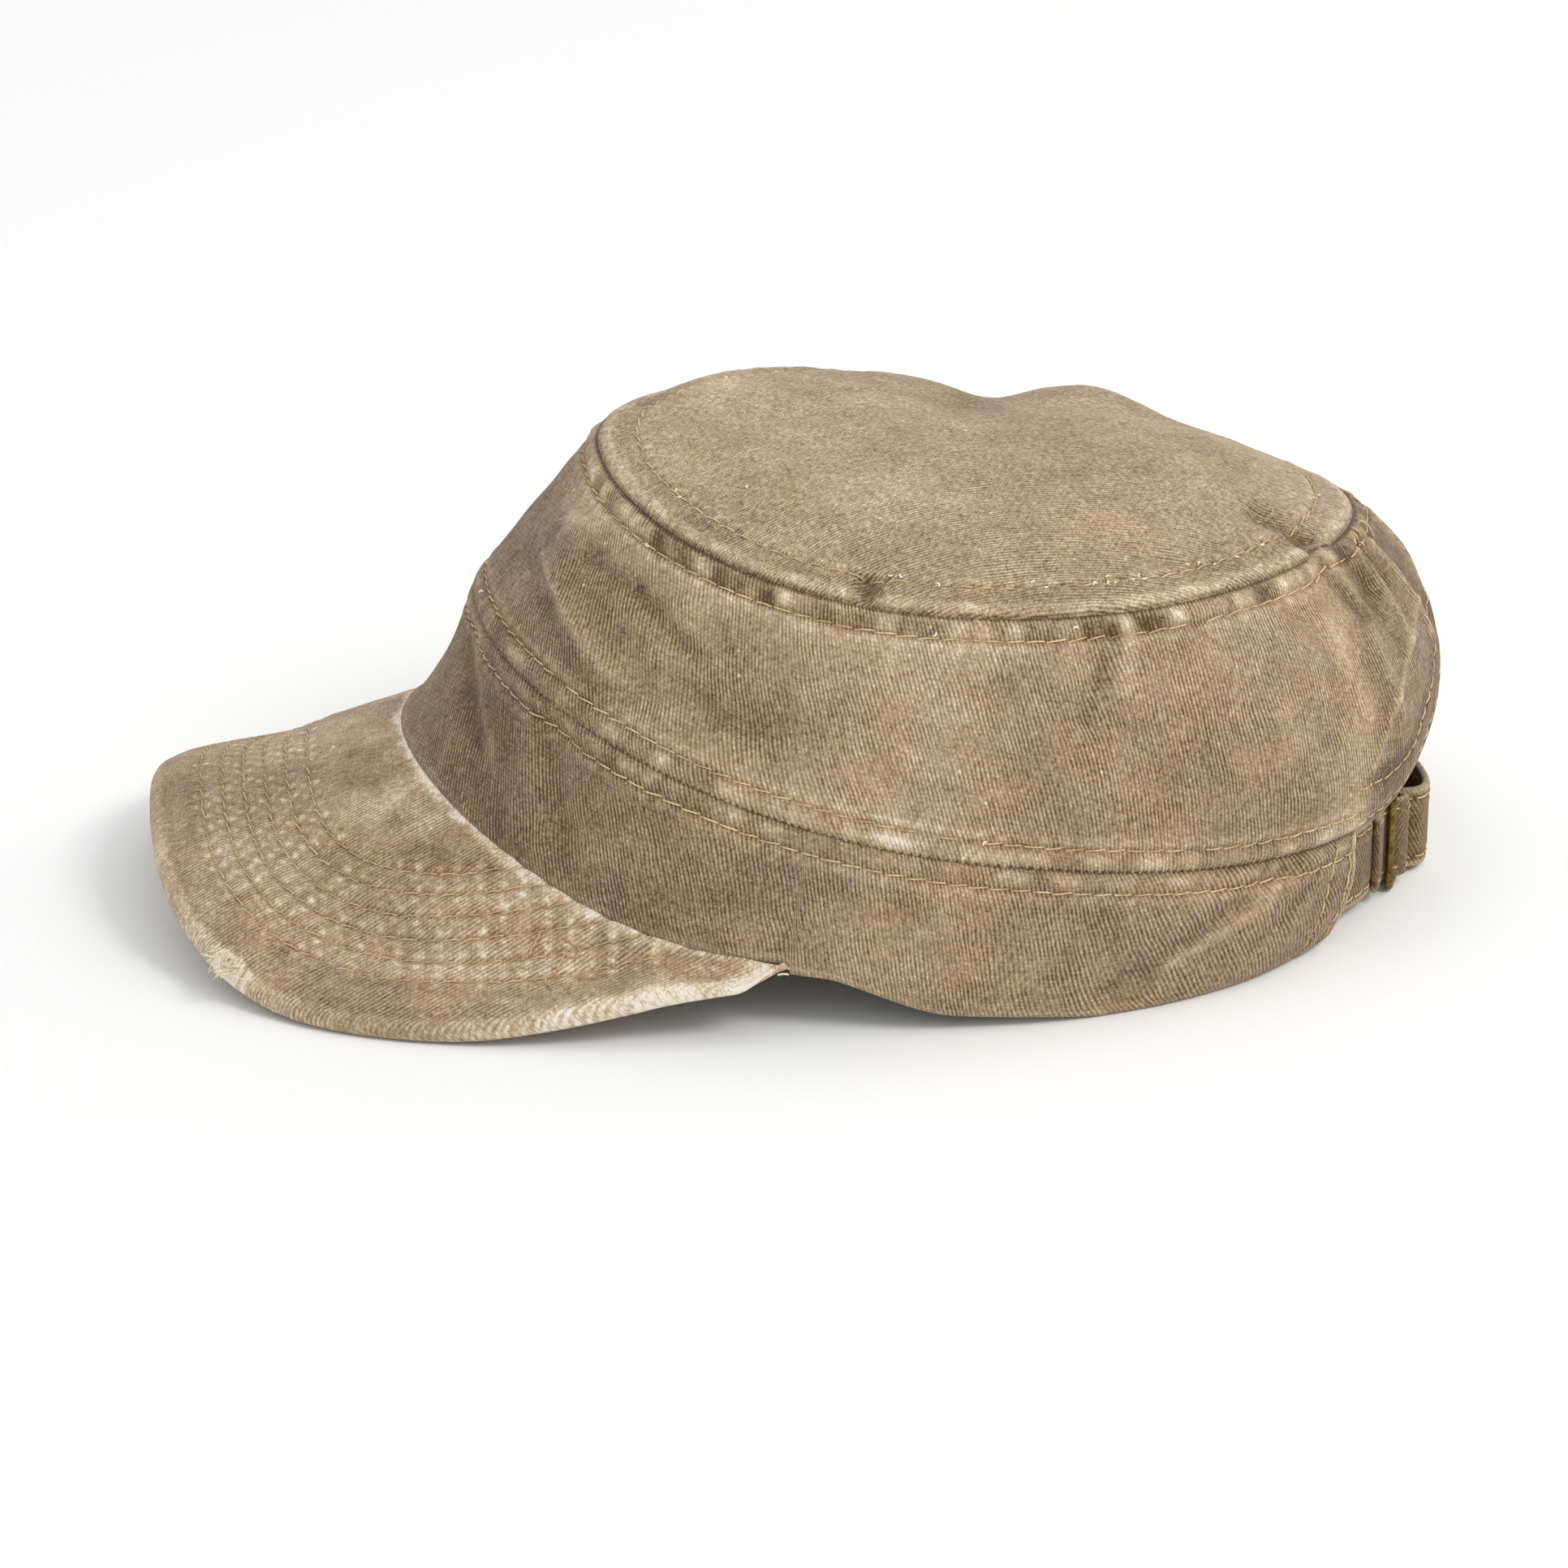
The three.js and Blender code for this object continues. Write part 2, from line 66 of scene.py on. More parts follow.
# %% Camera
AIM = Vector((-0.00203, 0.00036, 0.01607))
AZIMUTH, ELEVATION, DISTANCE = -6.78 * RAD, 22.94 * RAD, 1.0
FOCAL_PIXELS, PICTURE_WIDTH = 6169.2, 1932
back = Vector((
    math.sin(AZIMUTH) * math.cos(ELEVATION),
    -math.cos(AZIMUTH) * math.cos(ELEVATION),
    math.sin(ELEVATION),
))
camera = bpy.data.objects.new("camera", bpy.data.cameras.new("camera"))
bpy.context.scene.collection.objects.link(camera)
camera.data.sensor_width = 36
camera.data.lens = camera.data.sensor_width * FOCAL_PIXELS / PICTURE_WIDTH
camera.data.clip_start = 0.05
camera.location = AIM + back * DISTANCE
camera.rotation_euler = (-back).to_track_quat("-Z", "Y").to_euler()
bpy.context.scene.camera = camera
print("camera", [round(value, 4) for value in camera.location])

# %% [markdown]
# A washed cap looks its age in broad, soft light. A bright sky gives the even fill, a large key panel over
# the right front draws the wales, and the floor is a plain pale sheet that is wide enough for any view.

# %% Floor and light
bpy.context.scene.view_settings.view_transform = "Standard"
world = bpy.data.worlds.new("studio")
bpy.context.scene.world = world
world.use_nodes = True
world.node_tree.nodes["Background"].inputs["Color"].default_value = (1.0, 0.995, 0.985, 1)
world.node_tree.nodes["Background"].inputs["Strength"].default_value = 0.86


def panel(name, location, size, power, colour):
    lamp = bpy.data.lights.new(name, "AREA")
    lamp.shape = "DISK"
    lamp.size = size
    lamp.energy = power
    lamp.color = colour
    thing = bpy.data.objects.new(name, lamp)
    thing.location = location
    thing.rotation_euler = (Vector(location) * -1).to_track_quat("-Z", "Y").to_euler()
    bpy.context.scene.collection.objects.link(thing)
    return thing


panel("key panel", (0.75, -0.75, 1.15), 0.55, 7.0, (1.0, 0.985, 0.955))
panel("side panel", (1.1, 0.35, 0.55), 0.5, 2.2, (1.0, 0.985, 0.96))

floor_mesh = bpy.data.meshes.new("floor")
FLOOR_REACH = 6
floor_corners = [(x * FLOOR_REACH, y * FLOOR_REACH, 0) for x, y in ((-1, -1), (1, -1), (1, 1), (-1, 1))]
floor_mesh.from_pydata(floor_corners, [], [(0, 1, 2, 3)])
floor = bpy.data.objects.new("floor", floor_mesh)
bpy.context.scene.collection.objects.link(floor)
floor_finish = bpy.data.materials.new("pale floor")
floor_finish.use_nodes = True
floor_shader = floor_finish.node_tree.nodes["Principled BSDF"]
floor_shader.inputs["Base Color"].default_value = (0.97, 0.97, 0.965, 1)
floor_shader.inputs["Roughness"].default_value = 0.9
floor_shader.inputs["Specular IOR Level"].default_value = 0.1
floor_mesh.materials.append(floor_finish)
print("floor", 2 * FLOOR_REACH, "m wide")

# %% [markdown]
# ## The pattern of the cap
# Three level curves carry the whole cap: the rim, the seam over the band, and the edge of the top. Each is
# a squared oval whose height rises to the front and the rear. Angles run from the front (0) over the
# wearer's left side (90) to the rear (180). Soft rows then move the cloth a few millimetres.

# %% Level curves
CURVES = {
    "rim": {"centre": 1.0, "half": 99.0, "wide": 88.4, "square": 1.92},
    "seam": {"centre": 8.7, "half": 92.2, "wide": 81.1, "square": 2.18, "rise": (36.4, 17.4, 4.3, 0.3, 0)},
    "top": {"centre": 15.6, "half": 74.0, "wide": 64.2, "square": 2.1, "rise": (78.6, 7.0, 3.7, 0, 2.6)},
}
# Columns: front, front near, near, rear near, rear, rear far, far, front far.
SOFT = {
    "rim": (0, 0, -4.5, -1, 0, -1, -4.5, 0),
    "seam": (0, 0, 0, 0, 0, 0, 0, -6.5),
    "top": (0, 0, 0, 0, -1, -1, 0, -6.5),
    "wall": (0.5, 1.5, 3, 6, 11.5, 7, 3, -1.5),
    "band": (-2, 0.5, 2, 2, 1, 1, 1, -3),
}
RIM_ANGLES = (69.5, 90, 98, 107, 127, 136, 180)
RIM_LIFTS = (4.0, 2.8, 1.6, 0, 0, 0.6, 1.4)
PEAK = {
    "root_x": -97.6, "root_z": 32.9, "slope": 0.27, "curl": -0.0013, "droop": 0.0055,
    "droop_ease": -0.0019, "far_droop": 1.11, "reach": 116.2, "square": 2.77, "corner": 69.5,
    "edge_lift": 25, "tuck": 0.6, "below": 0.4, "thick": 3.6, "belly": 2.2,
}
DOME = 6.0
# Columns: x, y, height, half width along X, half width along Y.
HUMPS = ((-12, 52, 3.8, 38, 26), (47, 50, 4.4, 13, 24), (86, 20, -2.5, 16, 35))
print("level curves", list(CURVES))

# %% [markdown]
# The ovals are superellipses: one exponent makes them squarer without more points. Eased steps join one
# value to the next, so no edge shows in between.

# %% Curves as functions
def power(value, exponent):
    return np.sign(value) * np.abs(value) ** exponent


def smooth(share):
    share = np.clip(share, 0, 1)
    return share * share * (3 - 2 * share)


def around(row, angle):
    turn = np.mod(np.asarray(angle) / (2 * np.pi) * 8, 8)
    before = np.floor(turn).astype(int)
    share = smooth(turn - before)
    row = np.array(row, dtype=float)
    return row[before % 8] * (1 - share) + row[(before + 1) % 8] * share


def plan(name, angle, soft=True):
    curve = CURVES[name]
    x = curve["centre"] - curve["half"] * power(np.cos(angle), 2 / curve["square"])
    y = -curve["wide"] * power(np.sin(angle), 2 / curve["square"])
    out = around(SOFT[name], angle) if soft else 0
    return x - out * np.cos(angle), y - out * np.sin(angle)

# %% [markdown]
# In front the rim follows the arched peak. Behind the peak's corner it drops to the table, and it lifts a
# little again towards the rear.

# %% Heights on the curves
def peak_height(x, y):
    run = x - PEAK["root_x"]
    far = np.clip(y / 30, 0, 1) ** 2
    droop = PEAK["droop"] * (1 + (PEAK["far_droop"] - 1) * far) * (1 + PEAK["droop_ease"] * run)
    over = PEAK["root_z"] + PEAK["slope"] * run + PEAK["curl"] * run * run - droop * y * y - 0.2
    return 0.2 + np.where(over > 1.6, over, np.where(over < -1.6, 0, (over + 1.6) ** 2 / 6.4))


def rim_height(angle, x, y):
    degrees = np.abs(np.mod(angle / RAD + 180, 360) - 180)
    corner_x, corner_y = plan("rim", PEAK["corner"] * RAD, False)
    side = np.where(np.sin(angle) > 0, corner_y, -corner_y)
    drop = 1 - smooth((degrees - PEAK["corner"]) / (90 - PEAK["corner"]))
    low = np.interp(degrees, RIM_ANGLES, RIM_LIFTS) + (peak_height(corner_x, side) - RIM_LIFTS[0]) * drop
    return np.where(degrees < PEAK["corner"], peak_height(x, y), low)


def level(name, angle):
    x, y = plan(name, angle)
    if name == "rim":
        return np.stack([x, y, rim_height(angle, x, y)], -1)
    mean, slope, saddle, ripple, twist = CURVES[name]["rise"]
    z = mean + slope * np.cos(angle) + saddle * np.cos(2 * angle) + ripple * np.cos(3 * angle)
    return np.stack([x, y, z - twist * np.sin(2 * angle)], -1)


def humps(x, y):
    lift = 0
    for hump_x, hump_y, high, along_x, along_y in HUMPS:
        lift = lift + high * np.exp(-(((x - hump_x) / along_x) ** 2) - ((y - hump_y) / along_y) ** 2)
    return lift


print("seam height, front and rear", level("seam", np.array([0, np.pi]))[:, 2].round(1))

# %% [markdown]
# ## Folds
# A soft cap is full of shallow folds. Each row below is one fold on the wall or the band: where it starts
# and ends, as an angle and a height share, how wide it is, and how deep. A negative depth is a ridge. The
# first rows are the large folds; the later ones are the finer creases that only show close up.

# %% Fold table
# Columns: wall, from, to, low, high, half width, depth.
FOLDS = (
    ("wall", 15, 34, 0.58, 0.2, 5, -1.3), ("wall", 24, 42, 0.62, 0.22, 6, 1.4),
    ("wall", 32, 47, 0.66, 0.53, 5, 1.2), ("wall", 50, 68, 0.34, 0.46, 7, 1.5),
    ("wall", 100, 97, 0.9, 0.58, 3.5, 1.3), ("wall", 143, 151, 0.98, 0.76, 4, 2.0),
    ("wall", -40, -62, 0.7, 0.35, 8, 2.0), ("wall", -112, -128, 0.8, 0.4, 8, 1.8),
    ("band", 33, 38, 0.95, 0.4, 5, 1.3), ("band", 5, 21, 0.8, 0.4, 7, 1.2),
    ("band", 109, 124, 0.1, 0.85, 5, 1.0), ("band", 117, 132, 0.5, 0.86, 5, -0.9),
    ("band", 68, 80, 0.1, 0.6, 6, 0.8),
)
# Columns: wall, from, to, low, high, half width, depth, painted shade in the fold (a negative value is how
# much paler it has worn).
CREASES = (
    ("wall", 10, 20, 0.47, 0.44, 1.2, -0.5, -0.25), ("wall", 20, 37, 0.44, 0.26, 1.2, -0.55, -0.35),
    ("wall", 3, 20, 0.38, 0.35, 2.6, 0.5, 0.15), ("wall", 20, 36, 0.35, 0.16, 2.8, 0.6, 0.22),
    ("wall", 20, 33, 0.63, 0.65, 2.6, 0.4, 0.22), ("wall", 33, 47, 0.65, 0.53, 2.2, 0.7, 0.42),
    ("wall", 10, 17, 0.7, 0.79, 3.0, -0.3, -0.45), ("wall", 52, 62, 0.34, 0.34, 3.2, 0.4, 0.34),
    ("wall", 60, 72, 0.4, 0.5, 3.0, 0.3, 0.12), ("wall", 69, 66, 1.0, 0.88, 1.8, 0.7, 0.35),
    ("wall", 101.5, 99, 0.93, 0.73, 1.2, 0.6, 0.3), ("wall", 99, 97, 0.73, 0.58, 1.5, 0.5, 0.25),
    ("wall", 103.5, 102, 0.9, 0.7, 1.6, -0.4, -0.3), ("wall", 148, 152, 1.0, 0.78, 1.7, 1.0, 0.4),
    ("wall", 144.5, 146.5, 1.0, 0.8, 2.0, -0.7, -0.45), ("wall", 156, 158, 0.96, 0.76, 1.6, 0.8, 0.3),
    ("wall", 141.5, 148, 0.2, 0.41, 0.9, -0.4, -0.35), ("wall", 148, 154, 0.41, 0.51, 0.9, -0.4, -0.4),
    ("wall", 154, 165, 0.51, 0.63, 0.9, -0.4, -0.35), ("wall", 161, 167, 0.92, 0.46, 1.5, -0.9, -0.5),
    ("wall", 165, 171, 0.9, 0.5, 4, 0.8, 0.45), ("wall", 140, 146, 0.95, 0.72, 1.8, 0.8, 0.2),
    ("wall", 150, 153, 0.76, 0.5, 1.6, 0.6, 0.15), ("wall", 155, 157, 0.85, 0.55, 1.6, -0.7, -0.4),
    ("wall", 132, 135, 0.85, 0.5, 2.6, 0.4, 0.08), ("wall", 137, 141, 0.75, 0.4, 2.2, -0.4, -0.25),
    ("wall", 146, 149, 0.7, 0.35, 1.8, -0.5, -0.3),
    ("wall", 78, 92, 0.25, 0.36, 4.5, 0.35, 0.18), ("wall", 112, 122, 0.42, 0.6, 5, 0.4, 0.12),
    ("wall", 86, 100, 0.72, 0.62, 4, 0.3, 0.12), ("wall", 128, 138, 0.3, 0.5, 4, 0.5, 0.15),
    ("wall", 170, 174, 0.9, 0.45, 4, 0.8, 0.25), ("wall", -158, -166, 0.85, 0.35, 4, 0.8, 0.25),
    ("wall", -20, -32, 0.8, 0.4, 3, 0.6, 0.25), ("wall", -75, -90, 0.3, 0.5, 4, 0.6, 0.25),
    ("wall", -95, -99, 0.9, 0.5, 2.5, 0.7, 0.25), ("wall", -48, -60, 0.62, 0.35, 1.4, -0.5, -0.3),
    ("band", 28, 40, 0.97, 0.3, 2.6, 0.5, 0.3), ("band", 3, 20, 0.75, 0.4, 2.6, 0.5, 0.3),
    ("band", 8, 24, 0.8, 0.42, 1.6, -0.35, -0.25), ("band", 55, 72, 0.3, 0.62, 4, 0.3, 0.12),
    ("band", 80, 92, 0.65, 0.5, 3, 0.3, 0.12), ("band", 105, 118, 0.2, 0.7, 2.2, 0.5, 0.25),
    ("band", 113, 127, 0.35, 0.85, 1.8, -0.5, -0.4), ("band", 124, 133, 0.35, 0.9, 2.2, 0.5, 0.25),
    ("band", 96, 101, 0.1, 0.7, 3, 0.35, 0.12), ("band", -50, -70, 0.3, 0.7, 4, 0.5, 0.2),
    ("band", -105, -120, 0.2, 0.8, 3, 0.6, 0.25),
)
print("folds", len(FOLDS), "creases", len(CREASES))

# %% [markdown]
# Each fold is a soft line on the cloth: full depth along its middle, fading out to both sides and past both
# ends. The same mask also carries a crease's painted shade, and where that is negative, how much paler it has
# worn.

# %% Depth and tone of the folds
def crease_mask(u, v, across, rise, half):
    length = math.hypot(across, rise)
    along = (u * across + v * rise) / length
    beside = (u * rise - v * across) / length
    past = np.maximum(0, np.maximum(-along, along - length))
    return np.exp(-((beside / half) ** 2) - (past / half) ** 2)


def fold_depths(table, wall, angle, share, reach=80, tall=50):
    degrees = np.mod(angle / RAD + 180, 360) - 180
    depth = np.zeros(np.shape(angle))
    tone = np.zeros(np.shape(angle))
    for name, start, end, low, high, half, deep, *dark in table:
        if name != wall:
            continue
        u, v = (degrees - start) * RAD * reach, (share - low) * tall
        mask = crease_mask(u, v, (end - start) * RAD * reach, (high - low) * tall, half)
        depth = depth + deep * mask
        tone = tone + (dark[0] if dark else 0.0) * mask
    return depth, tone

# %% [markdown]
# A place on the wall or the band is an angle and a share of the height. The cloth between two level curves
# swells out a little, and the large folds push it in or out.

# %% Points on the cloth
def between(lower, upper, wall, centre, angle, share, fullness):
    low = level(lower, angle)
    high = level(upper, angle)
    out = np.stack([(low[..., 0] + high[..., 0]) / 2 - centre, (low[..., 1] + high[..., 1]) / 2], -1)
    out = out / np.linalg.norm(out, axis=-1, keepdims=True)
    lean = (out * (high - low)[..., :2]).sum(-1)
    rise = (high - low)[..., 2]
    slant = np.hypot(lean, rise)
    swell = around(SOFT[wall], angle) * 4 * fullness * (1 - fullness)
    outward = rise * swell / slant - fold_depths(FOLDS, wall, angle, share)[0]
    point = low * (1 - share[..., None]) + high * share[..., None]
    point[..., :2] += out * outward[..., None]
    point[..., 2] -= lean * swell / slant
    return point


def band_point(angle, share):
    return between("rim", "seam", "band", 4, angle, share, share)


def wall_point(angle, share):
    point = between("seam", "top", "wall", 12, angle, share, np.abs(share) ** 0.82)
    point[..., 2] += humps(point[..., 0], point[..., 1]) * share * share
    return point


def top_point(angle, share):
    edge = level("top", angle)
    middle = level("top", np.array([np.pi / 2]))[0, 2] + 2
    weight = share ** 1.5
    x = CURVES["top"]["centre"] + (edge[..., 0] - CURVES["top"]["centre"]) * share
    y = edge[..., 1] * share
    z = edge[..., 2] * weight + middle * (1 - weight) + DOME * (1 - share ** 2.4)
    return np.stack([x, y, z + humps(x, y)], -1)


side_angle, half_way = np.array([np.pi / 2]), np.array([0.5])
print("middle of the band at the left", band_point(side_angle, half_way)[0].round(1))

# %% [markdown]
# ## Cloth that is never quite smooth
# Washing leaves soft waves, and thread that shrinks gathers the cloth into puckers along each seam. Both
# are smooth random waves here. The generator is seeded, so every run gives the same cap.

# %% Seeded waves
def waves(values, pitch, seed, cycle=None):
    table = np.random.default_rng(seed).uniform(-1, 1, 4096)
    spot = np.asarray(values) / pitch
    before = np.floor(spot).astype(int)
    count = 4096 if cycle is None else max(1, int(round(cycle / pitch)))
    share = smooth(spot - before)
    return table[before % count] * (1 - share) + table[(before + 1) % count] * share


def waves2(u, v, pitch, seed):
    table = np.random.default_rng(seed).uniform(-1, 1, (256, 256))
    a, b = np.asarray(u) / pitch, np.asarray(v) / pitch
    i, j = np.floor(a).astype(int), np.floor(b).astype(int)
    p, q = smooth(a - i), smooth(b - j)
    low = table[i % 256, j % 256] * (1 - p) + table[(i + 1) % 256, j % 256] * p
    high = table[i % 256, (j + 1) % 256] * (1 - p) + table[(i + 1) % 256, (j + 1) % 256] * p
    return low * (1 - q) + high * q


def bell(distance, half):
    return np.exp(-((distance / half) ** 2))


def normals(grid, centre=(8, 0, 40)):
    across = np.gradient(grid, axis=0)
    upward = np.gradient(grid, axis=1)
    normal = np.cross(across, upward)
    normal /= np.linalg.norm(normal, axis=-1, keepdims=True) + 1e-12
    outward = ((grid - np.array(centre)) * normal).sum(-1).mean()
    return normal * (1 if outward > 0 else -1)


def run_lengths(grid, axis):
    steps = np.linalg.norm(np.diff(grid, axis=axis), axis=-1)
    start = np.zeros_like(np.take(steps, [0], axis=axis))
    return np.concatenate([start, np.cumsum(steps, axis=axis)], axis=axis)

# %% [markdown]
# ## One way to sew a skin
# Every cloth piece is a fine outer grid and a coarser inner one, joined by a rounded lip, like cloth that
# is folded over at its edge. Solidify could thicken a sheet, but it gives square edges and one thickness.
# The weave's own map goes on the corners, with U across the wales and V along them, in metres.

# %% Rounded lips
def lips(outer, inner, axis, count, pole=False):
    outer = np.moveaxis(outer, axis, 0)
    inner = np.moveaxis(inner, axis, 0)

    def turned(edge, before, far):
        away = edge - before
        away = away / (np.linalg.norm(away, axis=-1, keepdims=True) + 1e-9)
        thick = far - edge
        half = np.linalg.norm(thick, axis=-1, keepdims=True) / 2
        turns = [math.pi * step / (count + 1) for step in range(1, count + 1)]
        return [edge + thick * (1 - math.cos(t)) / 2 + away * half * math.sin(t) for t in turns]

    wide = np.concatenate([np.array(turned(outer[0], outer[1], inner[0])[::-1]), outer])
    deep = np.concatenate([np.repeat(inner[:1], count, 0), inner])
    if not pole:
        wide = np.concatenate([wide, np.array(turned(outer[-1], outer[-2], inner[-1]))])
        deep = np.concatenate([deep, np.repeat(inner[-1:], count, 0)])
    return np.moveaxis(wide, 0, axis), np.moveaxis(deep, 0, axis)


def stretched(values, axis, first, last):
    ends = [(first, last) if index == axis else (0, 0) for index in range(values.ndim)]
    return np.pad(values, ends, mode="edge")


def carried(weave, wide, axis, first, last):
    weave = np.moveaxis(stretched(weave, axis, first, last), axis, 0)
    wide = np.moveaxis(wide, axis, 0)
    for start, step, count in ((first, -1, first), (len(wide) - 1 - last, 1, last)):
        gap = np.linalg.norm(wide[start] - wide[start - step], axis=-1, keepdims=True) + 1e-6
        rate = (weave[start] - weave[start - step]) / gap
        rate = rate / np.maximum(1, np.linalg.norm(rate, axis=-1, keepdims=True) / 1.3)
        for here in [start + step * (k + 1) for k in range(count)]:
            gap = np.linalg.norm(wide[here] - wide[here - step], axis=-1, keepdims=True)
            weave[here] = weave[here - step] + rate * gap
    return np.moveaxis(weave, 0, axis)

# %% [markdown]
# Arrays of points and faces become one Blender mesh, with the weave's map and the worn and deep masks.
# Doubles are merged, so that a ring closes on itself, and the faces are turned to point outwards.

# %% A mesh from arrays
def cloth_mesh(name, points, quads, triangles, weave, attributes, material, merge=True):
    triangles = np.array(triangles, dtype=int).reshape(-1, 3)
    mesh = bpy.data.meshes.new(name)
    mesh.vertices.add(len(points))
    mesh.vertices.foreach_set("co", place(points).ravel())
    loops = np.concatenate([quads.ravel(), triangles.ravel()])
    mesh.loops.add(len(loops))
    mesh.loops.foreach_set("vertex_index", loops)
    mesh.polygons.add(len(quads) + len(triangles))
    starts = np.concatenate([np.arange(len(quads)) * 4, len(quads) * 4 + np.arange(len(triangles)) * 3])
    mesh.polygons.foreach_set("loop_start", starts)
    mesh.update(calc_edges=True)
    layer = mesh.uv_layers.new(name="weave")
    layer.data.foreach_set("uv", (weave[loops] * MM).ravel())
    for key, values in attributes.items():
        mesh.attributes.new(key, "FLOAT", "POINT").data.foreach_set("value", values.astype(np.float32))
    work = bmesh.new()
    work.from_mesh(mesh)
    if merge:
        bmesh.ops.remove_doubles(work, verts=work.verts, dist=2e-6)
    wires = [edge for edge in work.edges if not edge.link_faces]
    bmesh.ops.delete(work, geom=wires, context="EDGES")
    bmesh.ops.recalc_face_normals(work, faces=work.faces)
    if work.calc_volume(signed=True) < 0:
        bmesh.ops.reverse_faces(work, faces=work.faces)
    work.to_mesh(mesh)
    open_edges = sum(1 for edge in work.edges if not edge.is_manifold)
    work.free()
    mesh.polygons.foreach_set("use_smooth", np.ones(len(mesh.polygons), dtype=bool))
    mesh.materials.append(material)
    piece = bpy.data.objects.new(name, mesh)
    bpy.context.scene.collection.objects.link(piece)
    mesh.calc_loop_triangles()
    print(name, "triangles", len(mesh.loop_triangles), "open edges", open_edges)
    return piece

# %% [markdown]
# Where one edge has more points than the other, the strip between them is zipped up, taking the next point
# from whichever side lies behind.

# %% A strip between two edges
def zipped(a, a_share, b, b_share):
    faces = []
    i = j = 0
    while i < len(a) - 1 or j < len(b) - 1:
        step_a = a_share[i + 1] if i < len(a) - 1 else 9
        step_b = b_share[j + 1] if j < len(b) - 1 else 9
        if step_a <= step_b:
            faces.append((a[i], a[i + 1], b[j]))
            i += 1
        else:
            faces.append((a[i], b[j + 1], b[j]))
            j += 1
    return faces

# %% [markdown]
# A skin joins its two grids all round. A ring closes on itself at the rear, and a pole closes in the middle.

# %% Skins from grids
def skin(name, outer, inner, weave, tones, material, ring=False, pole=False, lip=3, inner_rows=8):
    columns, rows = outer.shape[:2]
    if ring:
        outer[-1] = outer[0]
        inner[-1] = inner[0]
    wide, far = lips(outer, inner, 1, lip, pole)
    weave = carried(weave, wide, 1, lip, 0 if pole else lip)
    tones = [stretched(values, 1, lip, 0 if pole else lip) for values in tones]
    ends = 0 if ring else lip
    if ends:
        wide, far = lips(wide, far, 0, lip)
        weave = carried(weave, wide, 0, lip, lip)
        tones = [stretched(values, 0, lip, lip) for values in tones]
    # The second mask is painted shade, with some dye kept in the seams.
    worn, shade_and_dye = tones
    pick_rows = np.unique(np.round(np.linspace(0, rows - 1, inner_rows)).astype(int))
    back_grid = inner[:, pick_rows]
    front_columns, front_rows = wide.shape[:2]
    front = np.arange(front_columns * front_rows).reshape(front_columns, front_rows)
    rear = front.size + np.arange(columns * len(pick_rows)).reshape(columns, len(pick_rows))
    points = np.concatenate([wide.reshape(-1, 3), back_grid.reshape(-1, 3)])
    faces = []
    for grid, flip in ((front, False), (rear, True)):
        quads = np.stack([grid[:-1, :-1], grid[1:, :-1], grid[1:, 1:], grid[:-1, 1:]], -1).reshape(-1, 4)
        faces.append(quads[:, ::-1] if flip else quads)
    front_share = np.clip((np.arange(front_columns) - ends) / (columns - 1), 0, 1)
    rear_share = np.arange(columns) / (columns - 1)
    strips = zipped(front[::-1, 0], 1 - front_share[::-1], rear[::-1, 0], 1 - rear_share[::-1])
    strips += zipped(front[:, -1], front_share, rear[:, -1], rear_share)
    if not ring:
        front_share = np.clip((np.arange(front_rows) - lip) / (rows - 1), 0, 1)
        rear_share = pick_rows / (rows - 1)
        strips += zipped(front[0], front_share, rear[0], rear_share)
        strips += zipped(front[-1, ::-1], 1 - front_share[::-1], rear[-1, ::-1], 1 - rear_share[::-1])
    rear_weave = weave[ends:ends + columns, pick_rows + lip]
    all_weave = np.concatenate([weave.reshape(-1, 2), rear_weave.reshape(-1, 2)])
    extra = np.zeros(rear.size)
    attributes = {
        "worn": np.concatenate([worn.ravel(), extra]),
        "deep": np.concatenate([shade_and_dye.ravel(), extra]),
    }
    return cloth_mesh(name, points, np.concatenate(faces), strips, all_weave, attributes, material)

# %% [markdown]
# Wales run straight along the cloth, but the cloth was cut in curves. A table gives the angle between the
# seam and the wales along each piece, and the sums of that angle's sine and cosine give the map.

# %% The weave's map
def eased_table(table, spots, reach=12.0):
    at, values = np.array(table, dtype=float).T
    return np.mean([np.interp(spots + shift, at, values) for shift in np.linspace(-reach, reach, 13)], axis=0)


def swept_weave(u, v, table):
    line = np.linspace(u.min(), u.max(), 3000)
    angle = eased_table(table, line) * RAD
    spacing = line[1] - line[0]
    here = np.interp(u, line, angle)
    across = np.interp(u, line, np.cumsum(np.sin(angle)) * spacing) - v * np.cos(here)
    along = np.interp(u, line, np.cumsum(np.cos(angle)) * spacing) + v * np.sin(here)
    return np.stack([across, along], -1)


def along_wales(x, y, wale_angle):
    c, s = math.cos(wale_angle * RAD), math.sin(wale_angle * RAD)
    return np.stack([x * s - y * c, x * c + y * s], -1)

# %% [markdown]
# ## Washed twill, as shader groups
# Twill shows as slanting ribs, the wales. Garment washing rubs the dye off every rib and every raised edge
# and leaves it in the grooves, so one cloth shows many tones. Three groups do this work: one draws the
# weave, one the cloudy fading, one the worn places. Each is built once and used by every cloth finish.

